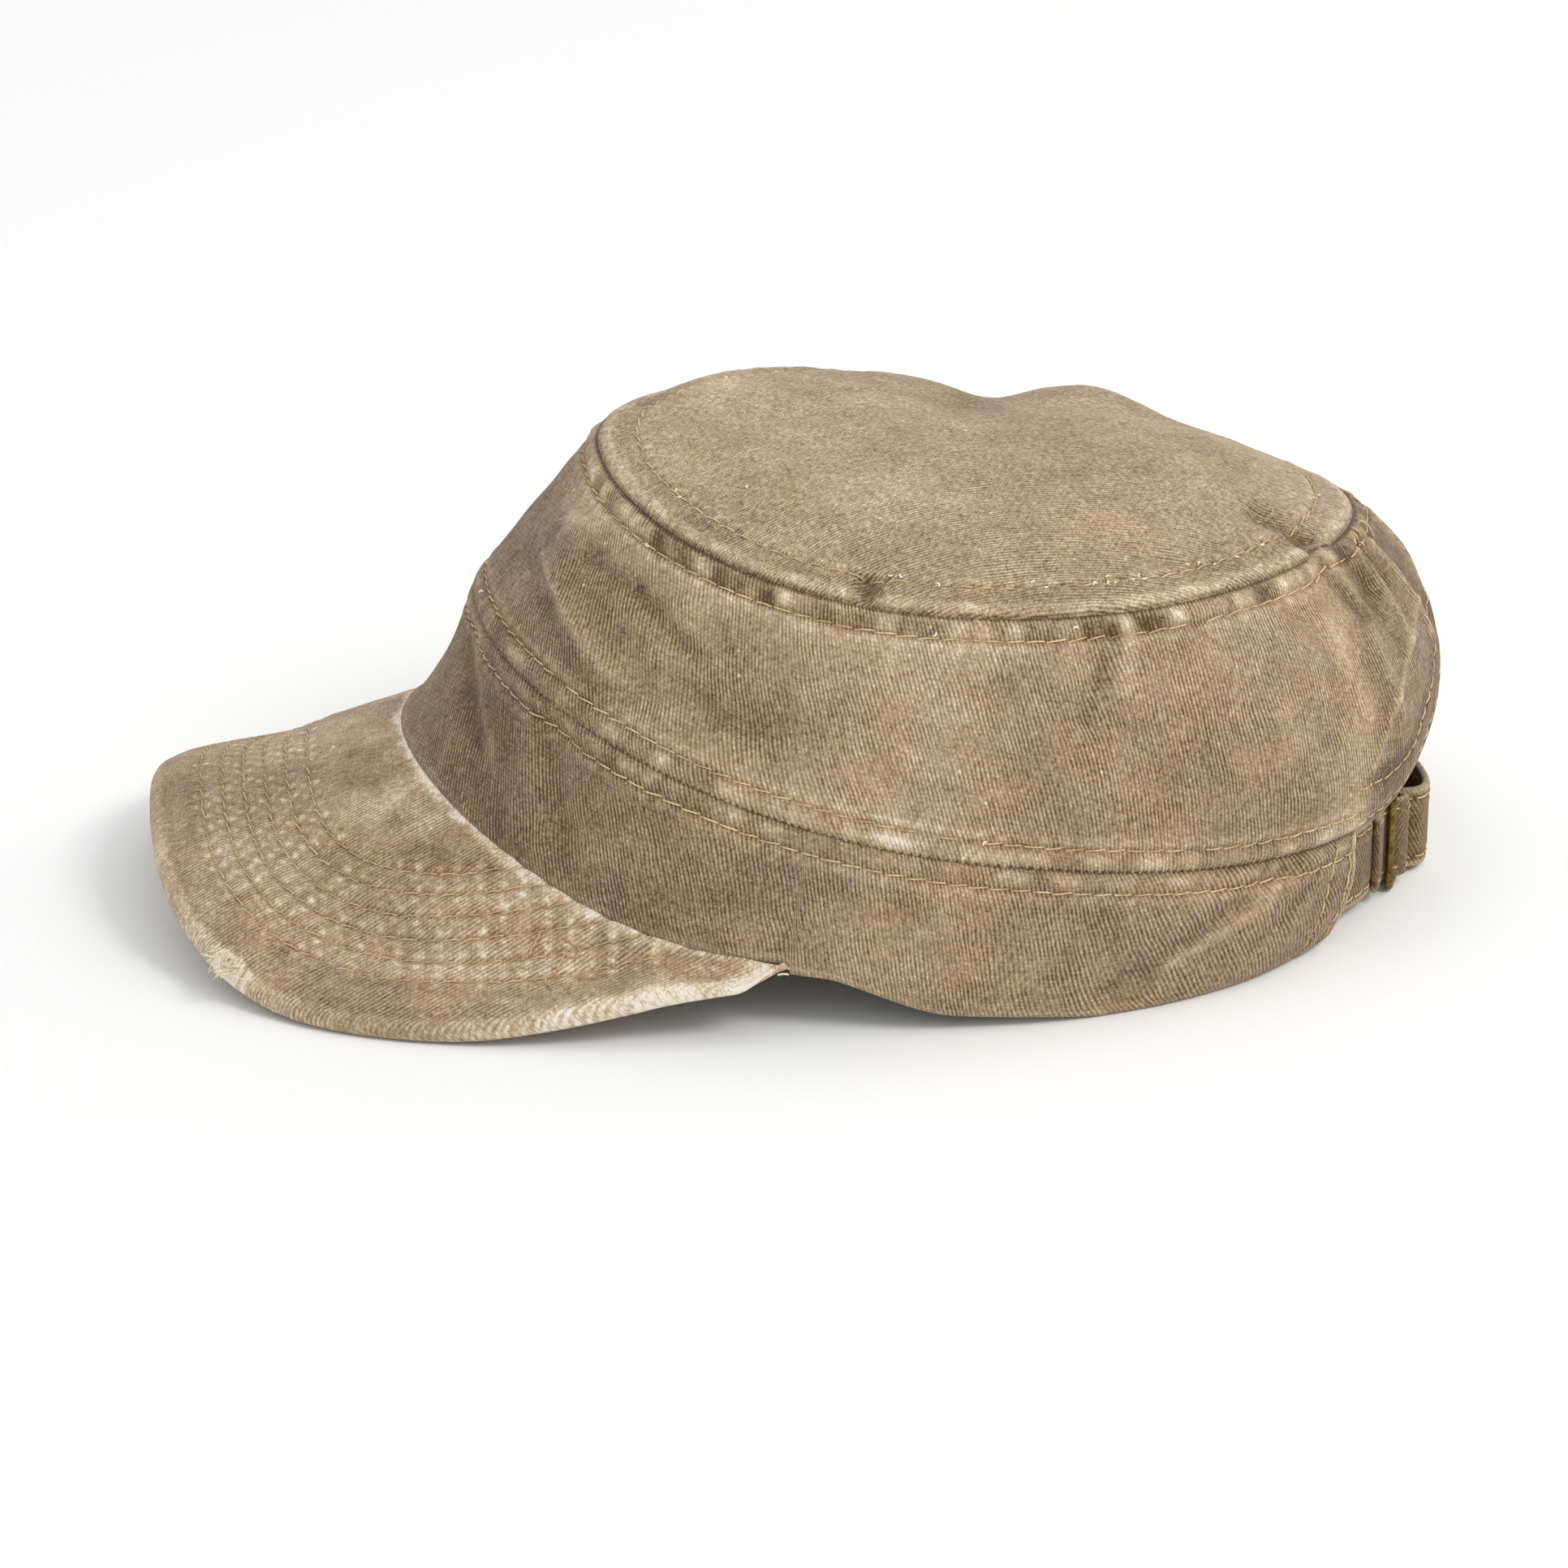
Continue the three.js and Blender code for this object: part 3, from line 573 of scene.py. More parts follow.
# %% Helpers for node trees
class Wires:
    """Adds nodes to one tree and links them as they are made."""

    def __init__(self, tree):
        self.tree = tree

    def node(self, kind, settings=None, **inputs):
        made = self.tree.nodes.new(kind)
        for key, value in (settings or {}).items():
            setattr(made, key, value)
        for key, value in inputs.items():
            self.feed(made, key, value)
        return made

    def feed(self, made, key, value):
        name = key.replace("_", " ")
        socket = made.inputs[int(name[1:])] if name[:1] == "i" and name[1:].isdigit() else made.inputs[name]
        if isinstance(value, bpy.types.NodeSocket):
            self.tree.links.new(value, socket)
        else:
            socket.default_value = value

    def math(self, operation, a, b=None, c=None):
        made = self.tree.nodes.new("ShaderNodeMath")
        made.operation = operation
        for index, value in enumerate((a, b, c)):
            if value is not None:
                self.feed(made, f"i{index}", value)
        return made.outputs[0]

    def swing(self, value, gain, base):
        return self.math("MULTIPLY_ADD", self.math("SUBTRACT", value, 0.5), gain, base)

    def remap(self, value, low, high, new_low=0.0, new_high=1.0, kind="SMOOTHSTEP"):
        made = self.node("ShaderNodeMapRange", {"interpolation_type": kind}, Value=value)
        ends = {"From Min": low, "From Max": high, "To Min": new_low, "To Max": new_high}
        for label, number in ends.items():
            made.inputs[label].default_value = number
        return made.outputs["Result"]

    def mix(self, share, a, b):
        made = self.node("ShaderNodeMix", {"data_type": "RGBA"})
        self.feed(made, "i0", share)
        self.feed(made, "i6", a)
        self.feed(made, "i7", b)
        return made.outputs[2]

    def noise(self, vector, scale, detail=2.0, roughness=0.5):
        made = self.node("ShaderNodeTexNoise", None, Vector=vector, Scale=scale, Detail=detail)
        made.inputs["Roughness"].default_value = roughness
        return made.outputs["Fac"]

    def scaled(self, vector, factors):
        made = self.node("ShaderNodeVectorMath", {"operation": "MULTIPLY"})
        self.feed(made, "i0", vector)
        made.inputs[1].default_value = factors
        return made.outputs[0]

# %% [markdown]
# A group gets named inputs and outputs, so that each material can give it its own values.

# %% New groups and trees
def add_sockets(tree, way, sockets):
    for label, kind, *value in sockets:
        socket = tree.interface.new_socket(label, in_out=way, socket_type=f"NodeSocket{kind}")
        if value:
            socket.default_value = value[0]


def new_group(name, inputs, outputs, kind="ShaderNodeTree"):
    group = bpy.data.node_groups.new(name, kind)
    add_sockets(group, "INPUT", inputs)
    add_sockets(group, "OUTPUT", outputs)
    entry, way_out = group.nodes.new("NodeGroupInput"), group.nodes.new("NodeGroupOutput")
    return group, Wires(group), entry.outputs, way_out.inputs

# %% [markdown]
# The weave group turns the map into ribs. A wave across the wales gives their round tops; slow noise makes
# them wander, because yarns are never even; and short bars along each rib are the single floats of yarn
# that cross over it, each rib half a float later than the last.

# %% Weave group
weave_group, w, given, out = new_group(
    "Twill weave",
    [("Map", "Vector"), ("Wale pitch", "Float", 0.00079), ("Wander", "Float", 0.35), ("Fuzz", "Float", 0.5)],
    [("Rib", "Float"), ("Yarn", "Float"), ("Height", "Float")],
)
millimetres = w.scaled(given["Map"], (1000, 1000, 1000))
split = w.node("ShaderNodeSeparateXYZ", None, Vector=millimetres).outputs
drift = w.math("SUBTRACT", w.noise(w.scaled(millimetres, (1.0, 0.7, 1)), 0.07, 2.0), 0.5)
small_drift = w.math("SUBTRACT", w.noise(w.scaled(millimetres, (1.0, 0.35, 1)), 0.6, 1.0), 0.5)
moved = w.math("MULTIPLY_ADD", drift, w.math("MULTIPLY", given["Wander"], 6.0), split["X"])
moved = w.math("MULTIPLY_ADD", small_drift, w.math("MULTIPLY", given["Wander"], 1.2), moved)
turns = w.math("DIVIDE", moved, w.math("MULTIPLY", given["Wale pitch"], 1000.0))
rib_wave = w.math("MULTIPLY_ADD", w.math("COSINE", w.math("MULTIPLY", turns, 2 * math.pi)), 0.5, 0.5)
patchy = w.remap(w.noise(millimetres, 0.13, 3.0, 0.6), 0.38, 0.62, 0.45, 1.0)
rib = w.math("MULTIPLY_ADD", w.math("SUBTRACT", w.math("POWER", rib_wave, 0.8), 0.55), patchy, 0.55)
which = w.math("ROUND", turns)
step_along = w.math("MULTIPLY_ADD", which, 0.43, w.math("DIVIDE", split["Y"], 0.95))
float_wave = w.math("MULTIPLY_ADD", w.math("COSINE", w.math("MULTIPLY", step_along, 2 * math.pi)), 0.5, 0.5)
streaks = w.noise(w.scaled(millimetres, (1.5, 0.3, 1)), 1.1, 2.0, 0.6)
fuzz = w.noise(millimetres, 3.2, 2.0, 0.7)
clumps = w.noise(millimetres, 0.95, 2.0, 0.65)
yarn = w.swing(streaks, 0.8, w.math("MULTIPLY_ADD", float_wave, 0.22, 0.39))
yarn = w.swing(fuzz, w.math("MULTIPLY", given["Fuzz"], 3.8), yarn)
yarn = w.swing(clumps, w.math("MULTIPLY", given["Fuzz"], 3.0), yarn)
height = w.math("MULTIPLY_ADD", w.math("MULTIPLY", rib, float_wave), 0.25, w.math("MULTIPLY", rib, 0.75))
height = w.swing(fuzz, w.math("MULTIPLY", given["Fuzz"], 0.8), height)
for label, value in (("Rib", rib), ("Yarn", yarn), ("Height", height)):
    w.tree.links.new(value, out[label])
print("group", weave_group.name, len(weave_group.nodes), "nodes")

# %% [markdown]
# The wash group reads places in the object, not the map, so that a cloud of faded dye runs on from one
# piece of cloth to the next. It gives wide clouds, small clouds, and a few pale tufts of loose cotton.

# %% Wash group
wash_group, w, given, out = new_group(
    "Washed dye",
    [("Place", "Vector"), ("Clouds", "Float", 1.0), ("Tufts", "Float", 0.5)],
    [("Fade", "Float"), ("Hue", "Float"), ("Tuft", "Float")],
)
wide = w.noise(given["Place"], 38.0, 3.0, 0.55)
small = w.noise(given["Place"], 190.0, 3.0, 0.6)
fine = w.noise(given["Place"], 900.0, 2.0, 0.6)
fade = w.swing(fine, 1.3, w.swing(wide, 1.5, w.swing(small, 1.1, 0.0)))
w.tree.links.new(w.math("MULTIPLY", fade, given["Clouds"]), out["Fade"])
grain = w.math("MULTIPLY", w.noise(given["Place"], 1500.0, 2.0, 0.6), 0.62)
w.tree.links.new(w.math("MULTIPLY_ADD", w.noise(given["Place"], 70.0, 3.0, 0.6), 0.38, grain), out["Hue"])
spots = w.node("ShaderNodeTexVoronoi", {"feature": "F1"}, Vector=given["Place"], Scale=230.0)
spot = w.remap(spots.outputs["Distance"], 0.0, 0.15, 1.0, 0.0)
lot = w.node("ShaderNodeSeparateColor", None, Color=spots.outputs["Color"]).outputs["Red"]
chosen = w.remap(lot, 0.86, 0.92)
w.tree.links.new(w.math("MULTIPLY", w.math("MULTIPLY", spot, chosen), given["Tufts"]), out["Tuft"])
print("group", wash_group.name, len(wash_group.nodes), "nodes")

# %% [markdown]
# The tone group adds everything up. The rib and yarn, the clouds, and two masks painted on the mesh, worn
# and deep, give one number, and a ramp from groove brown over khaki to bare cotton turns it into colour. Deep
# is painted shade, with some dye kept in the seams.

# %% Tone group
tone_group, w, given, out = new_group(
    "Worn tone",
    [
        ("Rib", "Float", 0.5), ("Yarn", "Float", 0.5), ("Fade", "Float", 0.0), ("Hue", "Float", 0.5),
        ("Tuft", "Float", 0.0), ("Worn", "Float", 0.0), ("Deep", "Float", 0.0),
        ("Rib contrast", "Float", 0.3), ("Level", "Float", 0.5),
        ("Groove", "Color"), ("Cloth", "Color"), ("Light", "Color"), ("Bare", "Color"),
    ],
    [("Color", "Color"), ("Share", "Float")],
)
calm = w.math("MULTIPLY_ADD", w.math("MINIMUM", given["Worn"], 1.0), -0.72, 1.0)
contrast_here = w.math("MULTIPLY", given["Rib contrast"], calm)
share = w.math("MULTIPLY_ADD", w.math("SUBTRACT", given["Rib"], 0.55), contrast_here, given["Level"])
share = w.swing(given["Yarn"], w.math("MULTIPLY", contrast_here, 0.9), share)
share = w.math("MULTIPLY_ADD", given["Fade"], 0.36, share)
share = w.math("MULTIPLY_ADD", given["Worn"], w.math("MULTIPLY_ADD", given["Yarn"], 0.3, 0.4), share)
# Deep darkens the colour: painted shade, with some dye kept in the seams.
share = w.math("MULTIPLY_ADD", given["Deep"], -0.42, share)
share = w.math("MAXIMUM", w.math("MINIMUM", w.math("ADD", share, given["Tuft"]), 1.0), 0.0)
low = w.mix(w.remap(share, 0.0, 0.5, kind="LINEAR"), given["Groove"], given["Cloth"])
middle = w.mix(w.remap(share, 0.5, 0.78, kind="LINEAR"), low, given["Light"])
colour = w.mix(w.remap(share, 0.78, 1.0, kind="LINEAR"), middle, given["Bare"])
warm = w.node("ShaderNodeHueSaturation", None, Color=colour)
w.feed(warm, "Hue", w.swing(given["Hue"], 0.03, 0.5))
w.feed(warm, "Saturation", w.swing(given["Hue"], 1.1, 1.0))
w.tree.links.new(warm.outputs["Color"], out["Color"])
w.tree.links.new(share, out["Share"])
print("group", tone_group.name, len(tone_group.nodes), "nodes")

# %% [markdown]
# ## Cloth finishes
# One recipe makes every twill finish. The shader stays matt, with a little sheen for the fibres that stand
# off the surface. The peak is rubbed harder than the crown, the strap is darker, the sweatband navy.

# %% Twill materials
def srgb(red, green, blue):
    values = np.array([red, green, blue]) / 255
    linear = np.where(values <= 0.04045, values / 12.92, ((values + 0.055) / 1.055) ** 2.4)
    return (float(linear[0]), float(linear[1]), float(linear[2]), 1.0)


def group_node(w, group, **inputs):
    made = w.tree.nodes.new("ShaderNodeGroup")
    made.node_tree = group
    for key, value in inputs.items():
        w.feed(made, key, value)
    return made


def twill_finish(name, tones, level_share=0.485, contrast=0.5, clouds=1.0, pitch=0.00079, bump=0.6, fuzz=0.5):
    material = bpy.data.materials.new(name)
    material.use_nodes = True
    shader = material.node_tree.nodes["Principled BSDF"]
    w = Wires(material.node_tree)
    weave_map = w.node("ShaderNodeUVMap", {"uv_map": "weave"}).outputs["UV"]
    place_in_object = w.node("ShaderNodeTexCoord").outputs["Object"]
    worn = w.node("ShaderNodeAttribute", {"attribute_name": "worn"}).outputs["Fac"]
    # deep carries painted shade from the mesh, with some dye kept in the seams.
    deep = w.node("ShaderNodeAttribute", {"attribute_name": "deep"}).outputs["Fac"]
    weave = group_node(w, weave_group, Map=weave_map)
    weave.inputs["Wale pitch"].default_value = pitch
    weave.inputs["Fuzz"].default_value = fuzz
    wash = group_node(w, wash_group, Place=place_in_object, Clouds=clouds)
    tone = group_node(w, tone_group, Worn=worn, Deep=deep, Level=level_share)
    for label in ("Rib", "Yarn"):
        w.feed(tone, label, weave.outputs[label])
    for label in ("Fade", "Hue", "Tuft"):
        w.feed(tone, label, wash.outputs[label])
    tone.inputs["Rib contrast"].default_value = contrast
    for label, colour in zip(("Groove", "Cloth", "Light", "Bare"), tones):
        tone.inputs[label].default_value = srgb(*colour)
    w.feed(shader, "Base Color", tone.outputs["Color"])
    w.feed(shader, "Roughness", w.remap(tone.outputs["Share"], 0.0, 1.0, 0.86, 0.97))
    relief = w.node("ShaderNodeBump", None, Height=weave.outputs["Height"], Strength=bump, Distance=0.00016)
    w.feed(shader, "Normal", relief.outputs["Normal"])
    shader.inputs["Specular IOR Level"].default_value = 0.18
    shader.inputs["Sheen Weight"].default_value = 0.12
    shader.inputs["Sheen Roughness"].default_value = 0.55
    return material

# %% [markdown]
# Each row of tones runs from the groove over the cloth and its light ribs to bare cotton. The top is the
# same cloth as the wall, but softer and fuzzier where hands have held it.

# %% Cloth tones
CROWN_TONES = ((88, 67, 45), (166, 144, 116), (200, 180, 152), (228, 219, 205))
PEAK_TONES = ((94, 71, 48), (168, 145, 117), (204, 184, 156), (234, 226, 212))
STRAP_TONES = ((64, 48, 30), (114, 94, 67), (146, 126, 95), (176, 160, 133))
SWEAT_TONES = ((22, 24, 30), (44, 47, 56), (110, 106, 104), (200, 192, 180))
crown_twill = twill_finish("washed twill", CROWN_TONES)
top_twill = twill_finish("fuzzy top twill", CROWN_TONES, 0.465, contrast=0.42, fuzz=0.9, bump=0.45)
peak_twill = twill_finish("rubbed peak twill", PEAK_TONES, contrast=0.4, pitch=0.00082, fuzz=0.7)
strap_twill = twill_finish("strap twill", STRAP_TONES, pitch=0.0007)
sweat_twill = twill_finish("navy sweatband", SWEAT_TONES, clouds=0.5, pitch=0.0006)
print("cloth finishes", [m.name for m in (crown_twill, top_twill, peak_twill, strap_twill, sweat_twill)])

# %% [markdown]
# Thread is shiny golden-tan cotton, twisted from fine plies. Loose cotton is its paler, softer cousin: the
# undyed core of yarns that have worn through. The buckle is old brass, dark except where it is rubbed.

# %% Thread and brass
def plain_finish(name, dark, light, roughness, metallic, scale, bump):
    material = bpy.data.materials.new(name)
    material.use_nodes = True
    shader = material.node_tree.nodes["Principled BSDF"]
    w = Wires(material.node_tree)
    spot = w.node("ShaderNodeTexCoord").outputs["Object"]
    slow = w.noise(spot, scale, 3.0, 0.6)
    quick = w.noise(spot, scale * 9, 2.0, 0.6)
    share = w.math("MULTIPLY_ADD", quick, 0.5, w.math("MULTIPLY", slow, 0.5))
    w.feed(shader, "Base Color", w.mix(w.remap(share, 0.32, 0.68), srgb(*dark), srgb(*light)))
    w.feed(shader, "Roughness", w.remap(share, 0.3, 0.7, roughness, roughness * 0.75))
    relief = w.node("ShaderNodeBump", None, Height=quick, Strength=bump, Distance=0.00012)
    w.feed(shader, "Normal", relief.outputs["Normal"])
    shader.inputs["Metallic"].default_value = metallic
    return material


thread = plain_finish("golden thread", (168, 134, 90), (230, 201, 157), 0.6, 0.0, 160.0, 0.5)
loose_cotton = plain_finish("bare cotton", (222, 206, 174), (250, 243, 226), 0.95, 0.0, 200.0, 0.6)
brass = plain_finish("old brass", (46, 36, 20), (150, 122, 68), 0.42, 1.0, 320.0, 0.35)
print("plain finishes", [m.name for m in (thread, loose_cotton, brass)])

# %% [markdown]
# ## Lines of sewing
# A seam pulls the cloth down at every needle hole. A stitch row is found on the grid at a fixed distance
# from an edge, its length is shared out in even stitches, and the same count gives both the small dents in
# the cloth and the places of the threads, so thread and dent always agree.

# %% Rows at a distance from an edge
def line_at(grid, distance, wanted):
    falling = distance[0, 0] >= distance[0, -1]
    index = ((distance > wanted) if falling else (distance < wanted)).argmin(axis=1)
    index = np.clip(index, 1, grid.shape[1] - 1)
    spot = np.arange(grid.shape[0])
    a, b = distance[spot, index - 1], distance[spot, index]
    share = np.clip((wanted - a) / (b - a + 1e-9), 0, 1)[:, None]
    return grid[spot, index - 1] * (1 - share) + grid[spot, index] * share


def both_at(grid, out, distance, wanted, keep=slice(None)):
    return line_at(grid, distance, wanted)[keep], line_at(out, distance, wanted)[keep]


def counted(path, pitch):
    length = run_lengths(path, 0)
    count = max(1, int(round(length[-1] / pitch)))
    return length / length[-1] * count, count


def needle(phase):
    return (0.5 + 0.5 * np.cos(2 * np.pi * phase)) ** 2


def seam_profile(distance, groove, puff, row):
    shape = -groove * bell(distance, 0.45) + puff * bell(distance - 1.9, 1.3)
    return shape - 0.28 * bell(distance - row, 0.5) + 0.16 * bell(distance - row - 1.5, 1.1)

# %% [markdown]
# A row of sewing is kept as plain points: the middle of every stitch, the way that the row runs there and
# the way that the cloth faces. Old thread has gaps, so a row may skip a few stitches at random. Pitches
# are in millimetres, and the length of a stitch is in metres, like the thread made from it.

# %% A list of stitches
PITCH, SHORT_PITCH, PEAK_PITCH, STRAP_PITCH = 4.0, 3.9, 4.1, 3.8
STITCH_LENGTH = 0.0036
SEWING = []


def at_phase(line, phase, spots):
    return np.stack([np.interp(spots, phase, line[:, k]) for k in range(3)], -1)


def sew(group, path, outward, phase, count, skip=0.0, slant=0.0, length=STITCH_LENGTH, seed=1):
    middles = np.arange(count) + 0.5
    rng = np.random.default_rng(seed)
    middles = middles[rng.uniform(size=count) >= skip]
    facing = at_phase(outward, phase, middles)
    facing /= np.linalg.norm(facing, axis=-1, keepdims=True) + 1e-9
    tangent = at_phase(path, phase, middles + 0.3) - at_phase(path, phase, middles - 0.3)
    SEWING.append({"group": group, "points": at_phase(path, phase, middles), "tangent": tangent,
                   "facing": facing, "slant": slant, "length": length})


def sew_evenly(group, path, outward, pitch, slant, length=STITCH_LENGTH):
    sew(group, path, outward, *counted(path, pitch), 0.0, slant, length)


print("stitch pitches", PITCH, SHORT_PITCH, PEAK_PITCH, STRAP_PITCH, "mm")

# %% [markdown]
# ## The side wall
# The wall is one curved strip of twill, sewn between the band and the top. It rises in an arch over the
# rear opening, with a hem and two rows of stitching. The shrunken thread at the top seam gathers it into
# small pleats that wear pale on their ridges.

# %% Wall grid
BAND_CLOTH, CLOTH, SWEAT_CLOTH, STRAP_CLOTH, GAP = 2.2, 1.6, 1.0, 1.5, 0.4
TOP_ROW, HEM_ROW, ARCH_ROWS, REAR_ROW = 4.0, 4.2, (2.2, 9.3), 3.6
WALL_COLUMNS, WALL_ROWS = 740, 112
wall_angle = np.linspace(-np.pi, np.pi, WALL_COLUMNS + 1)
top_share = 1 - 0.85 / (level("top", wall_angle) - level("seam", wall_angle))[:, 2]
from_rear = 180 - np.abs(wall_angle) / RAD
arch = np.clip(from_rear / 38, 0, 1)
bottom_share = 0.001 + 0.36 * ((1 + np.cos(np.pi * arch)) / 2) ** 1.4
steps = np.linspace(0, 1, WALL_ROWS + 1)
steps = steps - 0.05 * np.sin(2 * np.pi * steps)
wall_share = bottom_share[:, None] + (top_share - bottom_share)[:, None] * steps[None, :]
wall_angles = np.repeat(wall_angle[:, None], WALL_ROWS + 1, 1)
wall_base = wall_point(wall_angles, wall_share)
wall_normal = normals(wall_base, (12, 0, 50))
wall_v = run_lengths(wall_base, 1) + bottom_share[:, None] * 50
from_top = wall_v[:, -1:] - wall_v
middle_line = wall_point(wall_angle, np.full(WALL_COLUMNS + 1, 0.4))
wall_u = run_lengths(middle_line, 0)
wall_u = wall_u - np.interp(np.pi / 2, wall_angle, wall_u)
wall_length = wall_u[-1] - wall_u[0]
wall_uu = np.repeat(wall_u[:, None], WALL_ROWS + 1, 1)

# %% [markdown]
# Stitch rows and hems keep their distance from the curved lower edge, so every point of the wall looks up
# its nearest point on that edge. The arch has a hem of its own, so it gets a mask.

# %% Distance from the wall's lower edge
def edge_distance(u, v, edge_u, edge_v):
    best = np.full(u.shape, 1e9)
    where = np.zeros(u.shape, dtype=int)
    for index in range(len(edge_u)):
        gap = (u - edge_u[index]) ** 2 + (v - edge_v[index]) ** 2
        closer = gap < best
        best[closer] = gap[closer]
        where[closer] = index
    return np.sqrt(best), where


from_hem = edge_distance(wall_uu, wall_v, wall_u[::2], wall_v[::2, 0])[0]
in_arch = smooth((np.abs(wall_angles) / RAD - 138) / 6)
print("wall runs", round(wall_length), "mm; grid", wall_base.shape)

# %% [markdown]
# The wall's relief is a sum of plain parts: the groove and puff at each seam, pleats between the seam and
# its stitch row, the hem round the arch, the rear seam, creases from the table, and slow waves.

# %% Wall relief
top_row, top_count = counted(line_at(wall_base, from_top, TOP_ROW), PITCH)
low_row = counted(line_at(wall_base, from_hem, HEM_ROW), PITCH)[0]
pleats = waves(wall_uu - 0.5 * from_top, 4.2, 11, wall_length) * 0.8
pleats += waves(wall_uu, 2.0, 12, wall_length) * 0.35
low_pleats = waves(wall_uu, 3.1, 13, wall_length) * 0.7 + waves(wall_uu, 1.7, 14, wall_length) * 0.3
front_pull = 0.75 + 0.7 * bell(wall_angles / RAD - 35, 40) + 0.6 * bell(wall_angles / RAD - 115, 25)
relief = seam_profile(from_top, 0.25, 0.32, TOP_ROW)
relief += pleats * front_pull * 0.55 * bell(from_top - 2.1, 1.7) * smooth(from_top / 1.2)
relief -= 0.2 * needle(top_row)[:, None] * bell(from_top - TOP_ROW, 0.8)
straight = 1 - in_arch
relief += straight * seam_profile(from_hem, 0.25, 0.4, HEM_ROW)
relief += straight * low_pleats * 0.22 * bell(from_hem - 2.3, 1.8)
relief -= straight * 0.16 * needle(low_row)[:, None] * bell(from_hem - HEM_ROW, 0.8)
relief += in_arch * (0.3 * smooth((10.4 - from_hem) / 1.2) - 0.3 * bell(from_hem - ARCH_ROWS[0], 0.55))
relief += in_arch * (low_pleats * 0.2 * bell(from_hem - 5.5, 3.0) - 0.3 * bell(from_hem - ARCH_ROWS[1], 0.6))
rear_gap = np.minimum(wall_uu - wall_u[0], wall_u[-1] - wall_uu)
rear_puff = -0.7 * bell(rear_gap, 0.7) + 0.35 * bell(rear_gap - 1.8, 1.2)
relief += rear_puff - 0.22 * bell(rear_gap - REAR_ROW, 0.5)
crease, tone = fold_depths(CREASES, "wall", wall_angles, wall_share)
fade_out = smooth(from_top / 5) * smooth(from_hem / 5)
relief -= crease * (0.35 + 0.65 * fade_out)
relief += (waves2(wall_uu, wall_v, 13, 21) * 0.55 + waves2(wall_uu, wall_v, 6, 22) * 0.2) * fade_out
wall_grid = wall_base + wall_normal * relief[..., None]
wall_out = normals(wall_grid, (12, 0, 50))
print("wall relief", relief.min().round(2), "to", relief.max().round(2), "mm")

# %% [markdown]
# Ridges, hem edges and the cloth just past a stitch row rub pale. Seams, valleys and stitch rows get painted
# shade, and so do the front, which the key light misses, and the rear; the arch is darker along its hem.

# %% Wall wear and painted shade
ridge = np.clip(pleats * 1.3, 0, 1)
valley = np.clip(-pleats * 1.3, 0, 1)
degrees = wall_angles / RAD
worn = bell(from_top - 2.0, 1.7) * (0.06 + 0.6 * ridge * front_pull)
worn += straight * bell(from_hem - 2.0, 1.3) * (0.12 + 0.7 * np.clip(low_pleats, 0, 1))
worn += 0.28 * smooth((13 - from_top) / 9) * smooth((from_top - 4.3) / 0.8) * bell(degrees - 42, 26)
worn += 0.1 * bell(degrees - 72, 18)
worn += straight * bell(from_hem - 5.6, 1.0) * 0.25 * (0.5 + needle(low_row)[:, None])
worn += bell(from_top - 5.4, 1.0) * 0.22 * (0.5 + needle(top_row)[:, None])
worn += in_arch * (0.7 * bell(from_hem, 0.8) + 0.25 * bell(from_hem - 4.5, 1.5) * (0.5 + low_pleats))
worn += np.clip(-tone, 0, 2) + 0.3 * bell(rear_gap - 1.8, 0.9)
# deep is painted shade here: seam grooves, pleat valleys and the dents of the stitch rows.
deep = 0.85 * bell(from_top, 0.28) + 0.85 * valley * front_pull * bell(from_top - 2.4, 1.8)
deep += 0.3 * bell(from_top - TOP_ROW, 0.6) + 0.25 * bell(from_hem - HEM_ROW, 0.6) * straight
low_valley_shade = 0.45 * np.clip(-low_pleats, 0, 1) * bell(from_hem - 2.4, 1.6)
deep += straight * (0.8 * bell(from_hem, 0.28) + low_valley_shade)
arch_lines = bell(from_hem - ARCH_ROWS[0], 0.6) + bell(from_hem - ARCH_ROWS[1], 0.6)
deep += in_arch * 0.4 * arch_lines + 0.7 * bell(rear_gap, 0.6)
# Painted shade in the fold valleys, on the front, which the key light misses, and towards the rear; the arch
# is darker along its hem.
deep += np.clip(tone, 0, 2) + 0.72 * bell(degrees - 10, 40) * (1 - 0.5 * smooth((wall_share - 0.55) / 0.25))
deep += 0.28 * bell(degrees - 118, 26) + 0.6 * smooth((np.abs(degrees) - 138) / 9)
deep += 0.35 * in_arch * smooth((13 - from_hem) / 1.5)
print("wall worn to", worn.max().round(2), "deep to", deep.max().round(2))

# %% [markdown]
# The inner face lies one cloth's thickness behind the outer one. The cloth is thinner at the seams, so that
# neighbours don't meet. The wales of the real wall swing round it, so their angle comes from a table that is
# read along the wall.

# %% Wall skin
def inward(grid, normal, thick):
    flat = np.linalg.norm(normal[..., :2], axis=-1)
    shift = thick / np.maximum(0.55, flat)
    moved = grid.copy()
    moved[..., :2] -= normal[..., :2] / (flat[..., None] + 1e-9) * np.asarray(shift)[..., None]
    return moved


seam_thin = (1 - 0.7 * bell(from_top, 1.4)) * (1 - 0.7 * straight * bell(from_hem, 1.4))
wall_inner = inward(wall_base, wall_normal, CLOTH * seam_thin) + (wall_grid - wall_base) * 0.5
# Columns: millimetres past the wearer's left side, degrees from the seam to the wales.
WALL_WALES = (
    (-412, 116), (-300, 96), (-200, 110), (-120, 130), (-90, 127), (-62, 114), (-48, 117), (-32, 124),
    (-16, 118), (0, 112), (15, 106), (32, 98), (48, 97), (65, 98), (85, 104), (105, 112), (125, 119),
    (150, 126),
)
wall_weave = swept_weave(wall_uu, wall_v - 20, WALL_WALES)
crown_side = skin("crown_side_cloth", wall_grid, wall_inner, wall_weave, (worn, deep), crown_twill, ring=True)

# %% [markdown]
# The wall carries its stitch rows: one under the top seam, one over the band seam, two round the arch and
# two beside the rear seam.

